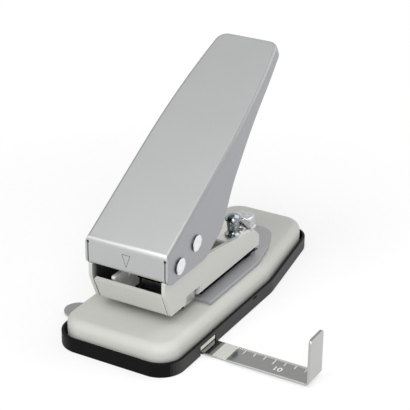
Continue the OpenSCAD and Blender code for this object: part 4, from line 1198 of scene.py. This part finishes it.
class PUNCH_OT_stage(bpy.types.Operator):
    """Makes the pale floor, the soft lamps, the world and the camera"""
    bl_idname = "punch.stage"
    bl_label = "Stage"

    def execute(self, context):
        scene = context.scene
        scene.view_settings.view_transform = "Standard"
        self.floor()
        self.world(scene)
        for settings in LAMPS:
            self.lamp(*settings)
        self.camera(scene)
        return {"FINISHED"}

    @staticmethod
    def level(tree, lighting):
        """Strength 1 for rays from the camera, from gloss and through glass, less for those that light."""
        path = add(tree, "ShaderNodeLightPath")
        first = add(tree, "ShaderNodeMath", {0: (path, "Is Camera Ray"), 1: (path, "Is Glossy Ray")},
                    operation="MAXIMUM")
        seen = add(tree, "ShaderNodeMath", {0: (first, 0), 1: (path, "Is Transmission Ray")},
                   operation="MAXIMUM")
        strength = add(tree, "ShaderNodeMapRange", {"Value": (seen, 0), "To Min": lighting, "To Max": 1.0})
        return (strength, "Result")

    def floor(self):
        """A plain white floor that keeps the shadow near the object and is pure white further away."""
        s, drop = 4000, -0.02
        floor = new_object("floor", ([[-s, -s, drop], [s, -s, drop], [s, s, drop], [-s, s, drop]],
                                     [[0, 1, 2, 3]]))
        material, tree = blank("plain_floor")
        shade = add(tree, "ShaderNodeBsdfDiffuse", {"Color": WHITE})
        glow = add(tree, "ShaderNodeEmission", {"Color": WHITE, "Strength": self.level(tree, FLOOR_GLOW)})
        where = add(tree, "ShaderNodeTexCoord")
        away = add(tree, "ShaderNodeVectorMath", {0: (where, "Object")}, operation="LENGTH")
        share = add(tree, "ShaderNodeMapRange", {
            "Value": (away, "Value"), "From Min": 0.1, "From Max": 0.22, "To Min": 0.66, "To Max": 1.0})
        part = add(tree, "ShaderNodeMixShader", {"Fac": (share, "Result"), 1: (shade, 0), 2: (glow, 0)})
        add(tree, "ShaderNodeOutputMaterial", {"Surface": (part, 0)})
        floor.data.materials.append(material)

    def world(self, scene):
        """White where it is seen, and a plain level of light elsewhere."""
        world = bpy.data.worlds.new("plain_world")
        scene.world = world
        world.use_nodes = True
        tree = world.node_tree
        tree.nodes.clear()
        sky = add(tree, "ShaderNodeBackground", {"Color": WHITE, "Strength": self.level(tree, WORLD_GLOW)})
        add(tree, "ShaderNodeOutputWorld", {"Surface": (sky, 0)})

    @staticmethod
    def lamp(name, at, towards, side, power):
        """A soft square lamp that faces the object."""
        data = bpy.data.lights.new(name, "AREA")
        data.shape, data.size, data.energy = "SQUARE", side * MM, power
        lamp = bpy.data.objects.new(name, data)
        lamp.location = Vector(at) * MM
        lamp.rotation_mode = "QUATERNION"
        lamp.rotation_quaternion = (Vector(towards) - Vector(at)).to_track_quat("-Z", "Y")
        bpy.context.scene.collection.objects.link(lamp)

    @staticmethod
    def camera(scene):
        """The photograph's view: back runs from the object to the camera, right and up are the
        picture's own, turned by the roll."""
        az, el, roll = (math.radians(v) for v in (AZIMUTH, ELEVATION, ROLL))
        at = Vector(CAMERA_AT) * MM
        back = Vector((math.sin(az) * math.cos(el), -math.cos(az) * math.cos(el), math.sin(el)))
        level = Vector((0, 0, 1)).cross(back).normalized()
        rise = back.cross(level)
        right = level * math.cos(roll) + rise * math.sin(roll)
        up = rise * math.cos(roll) - level * math.sin(roll)
        data = bpy.data.cameras.new("camera")
        data.sensor_width, data.lens = SENSOR, SENSOR * FOCAL / PICTURE
        data.clip_start, data.clip_end = 0.01, 20
        camera = bpy.data.objects.new("camera", data)
        camera.matrix_world = Matrix((
            (right.x, up.x, back.x, at.x), (right.y, up.y, back.y, at.y),
            (right.z, up.z, back.z, at.z), (0, 0, 0, 1)))
        scene.collection.objects.link(camera)
        scene.camera = camera


class PUNCH_PT_panel(bpy.types.Panel):
    """Lists the settings and the pieces"""
    bl_idname = "PUNCH_PT_panel"
    bl_label = "Slot Punch"
    bl_space_type = "VIEW_3D"
    bl_region_type = "UI"
    bl_category = "Slot Punch"

    def draw(self, context):
        for group in GROUPS:
            box = self.layout.box()
            settings = getattr(context.scene, group)
            for name in settings.bl_rna.properties.keys():
                if name not in ("rna_type", "name"):
                    box.prop(settings, name)
        for operator in OPERATORS:
            self.layout.operator(operator.bl_idname)


GROUPS = {
    "punch_colours": PunchColours,
    "punch_base": BaseSizes,
    "punch_lever": LeverSizes,
    "punch_parts": PartSizes,
}
OPERATORS = (
    PUNCH_OT_stage, PUNCH_OT_shell, PUNCH_OT_tray, PUNCH_OT_frame, PUNCH_OT_guide, PUNCH_OT_bridge,
    PUNCH_OT_fasteners, PUNCH_OT_lever, PUNCH_OT_mark, PUNCH_OT_carriage, PUNCH_OT_springs,
    PUNCH_OT_gauge, PUNCH_OT_depth, PUNCH_OT_thumbscrew,
)


def register():
    for name, group in GROUPS.items():
        bpy.utils.register_class(group)
        setattr(bpy.types.Scene, name, bpy.props.PointerProperty(type=group))
    for operator in OPERATORS:
        bpy.utils.register_class(operator)
    bpy.utils.register_class(PUNCH_PT_panel)


def unregister():
    bpy.utils.unregister_class(PUNCH_PT_panel)
    for operator in reversed(OPERATORS):
        bpy.utils.unregister_class(operator)
    for name, group in reversed(GROUPS.items()):
        delattr(bpy.types.Scene, name)
        bpy.utils.unregister_class(group)


def main():
    register()
    colours = bpy.context.scene.punch_colours
    painted_finishes(colours)
    metal_finishes(colours)
    for operator in OPERATORS:
        group, name = operator.bl_idname.split(".")
        getattr(getattr(bpy.ops, group), name)()


if __name__ == "__main__":
    main()
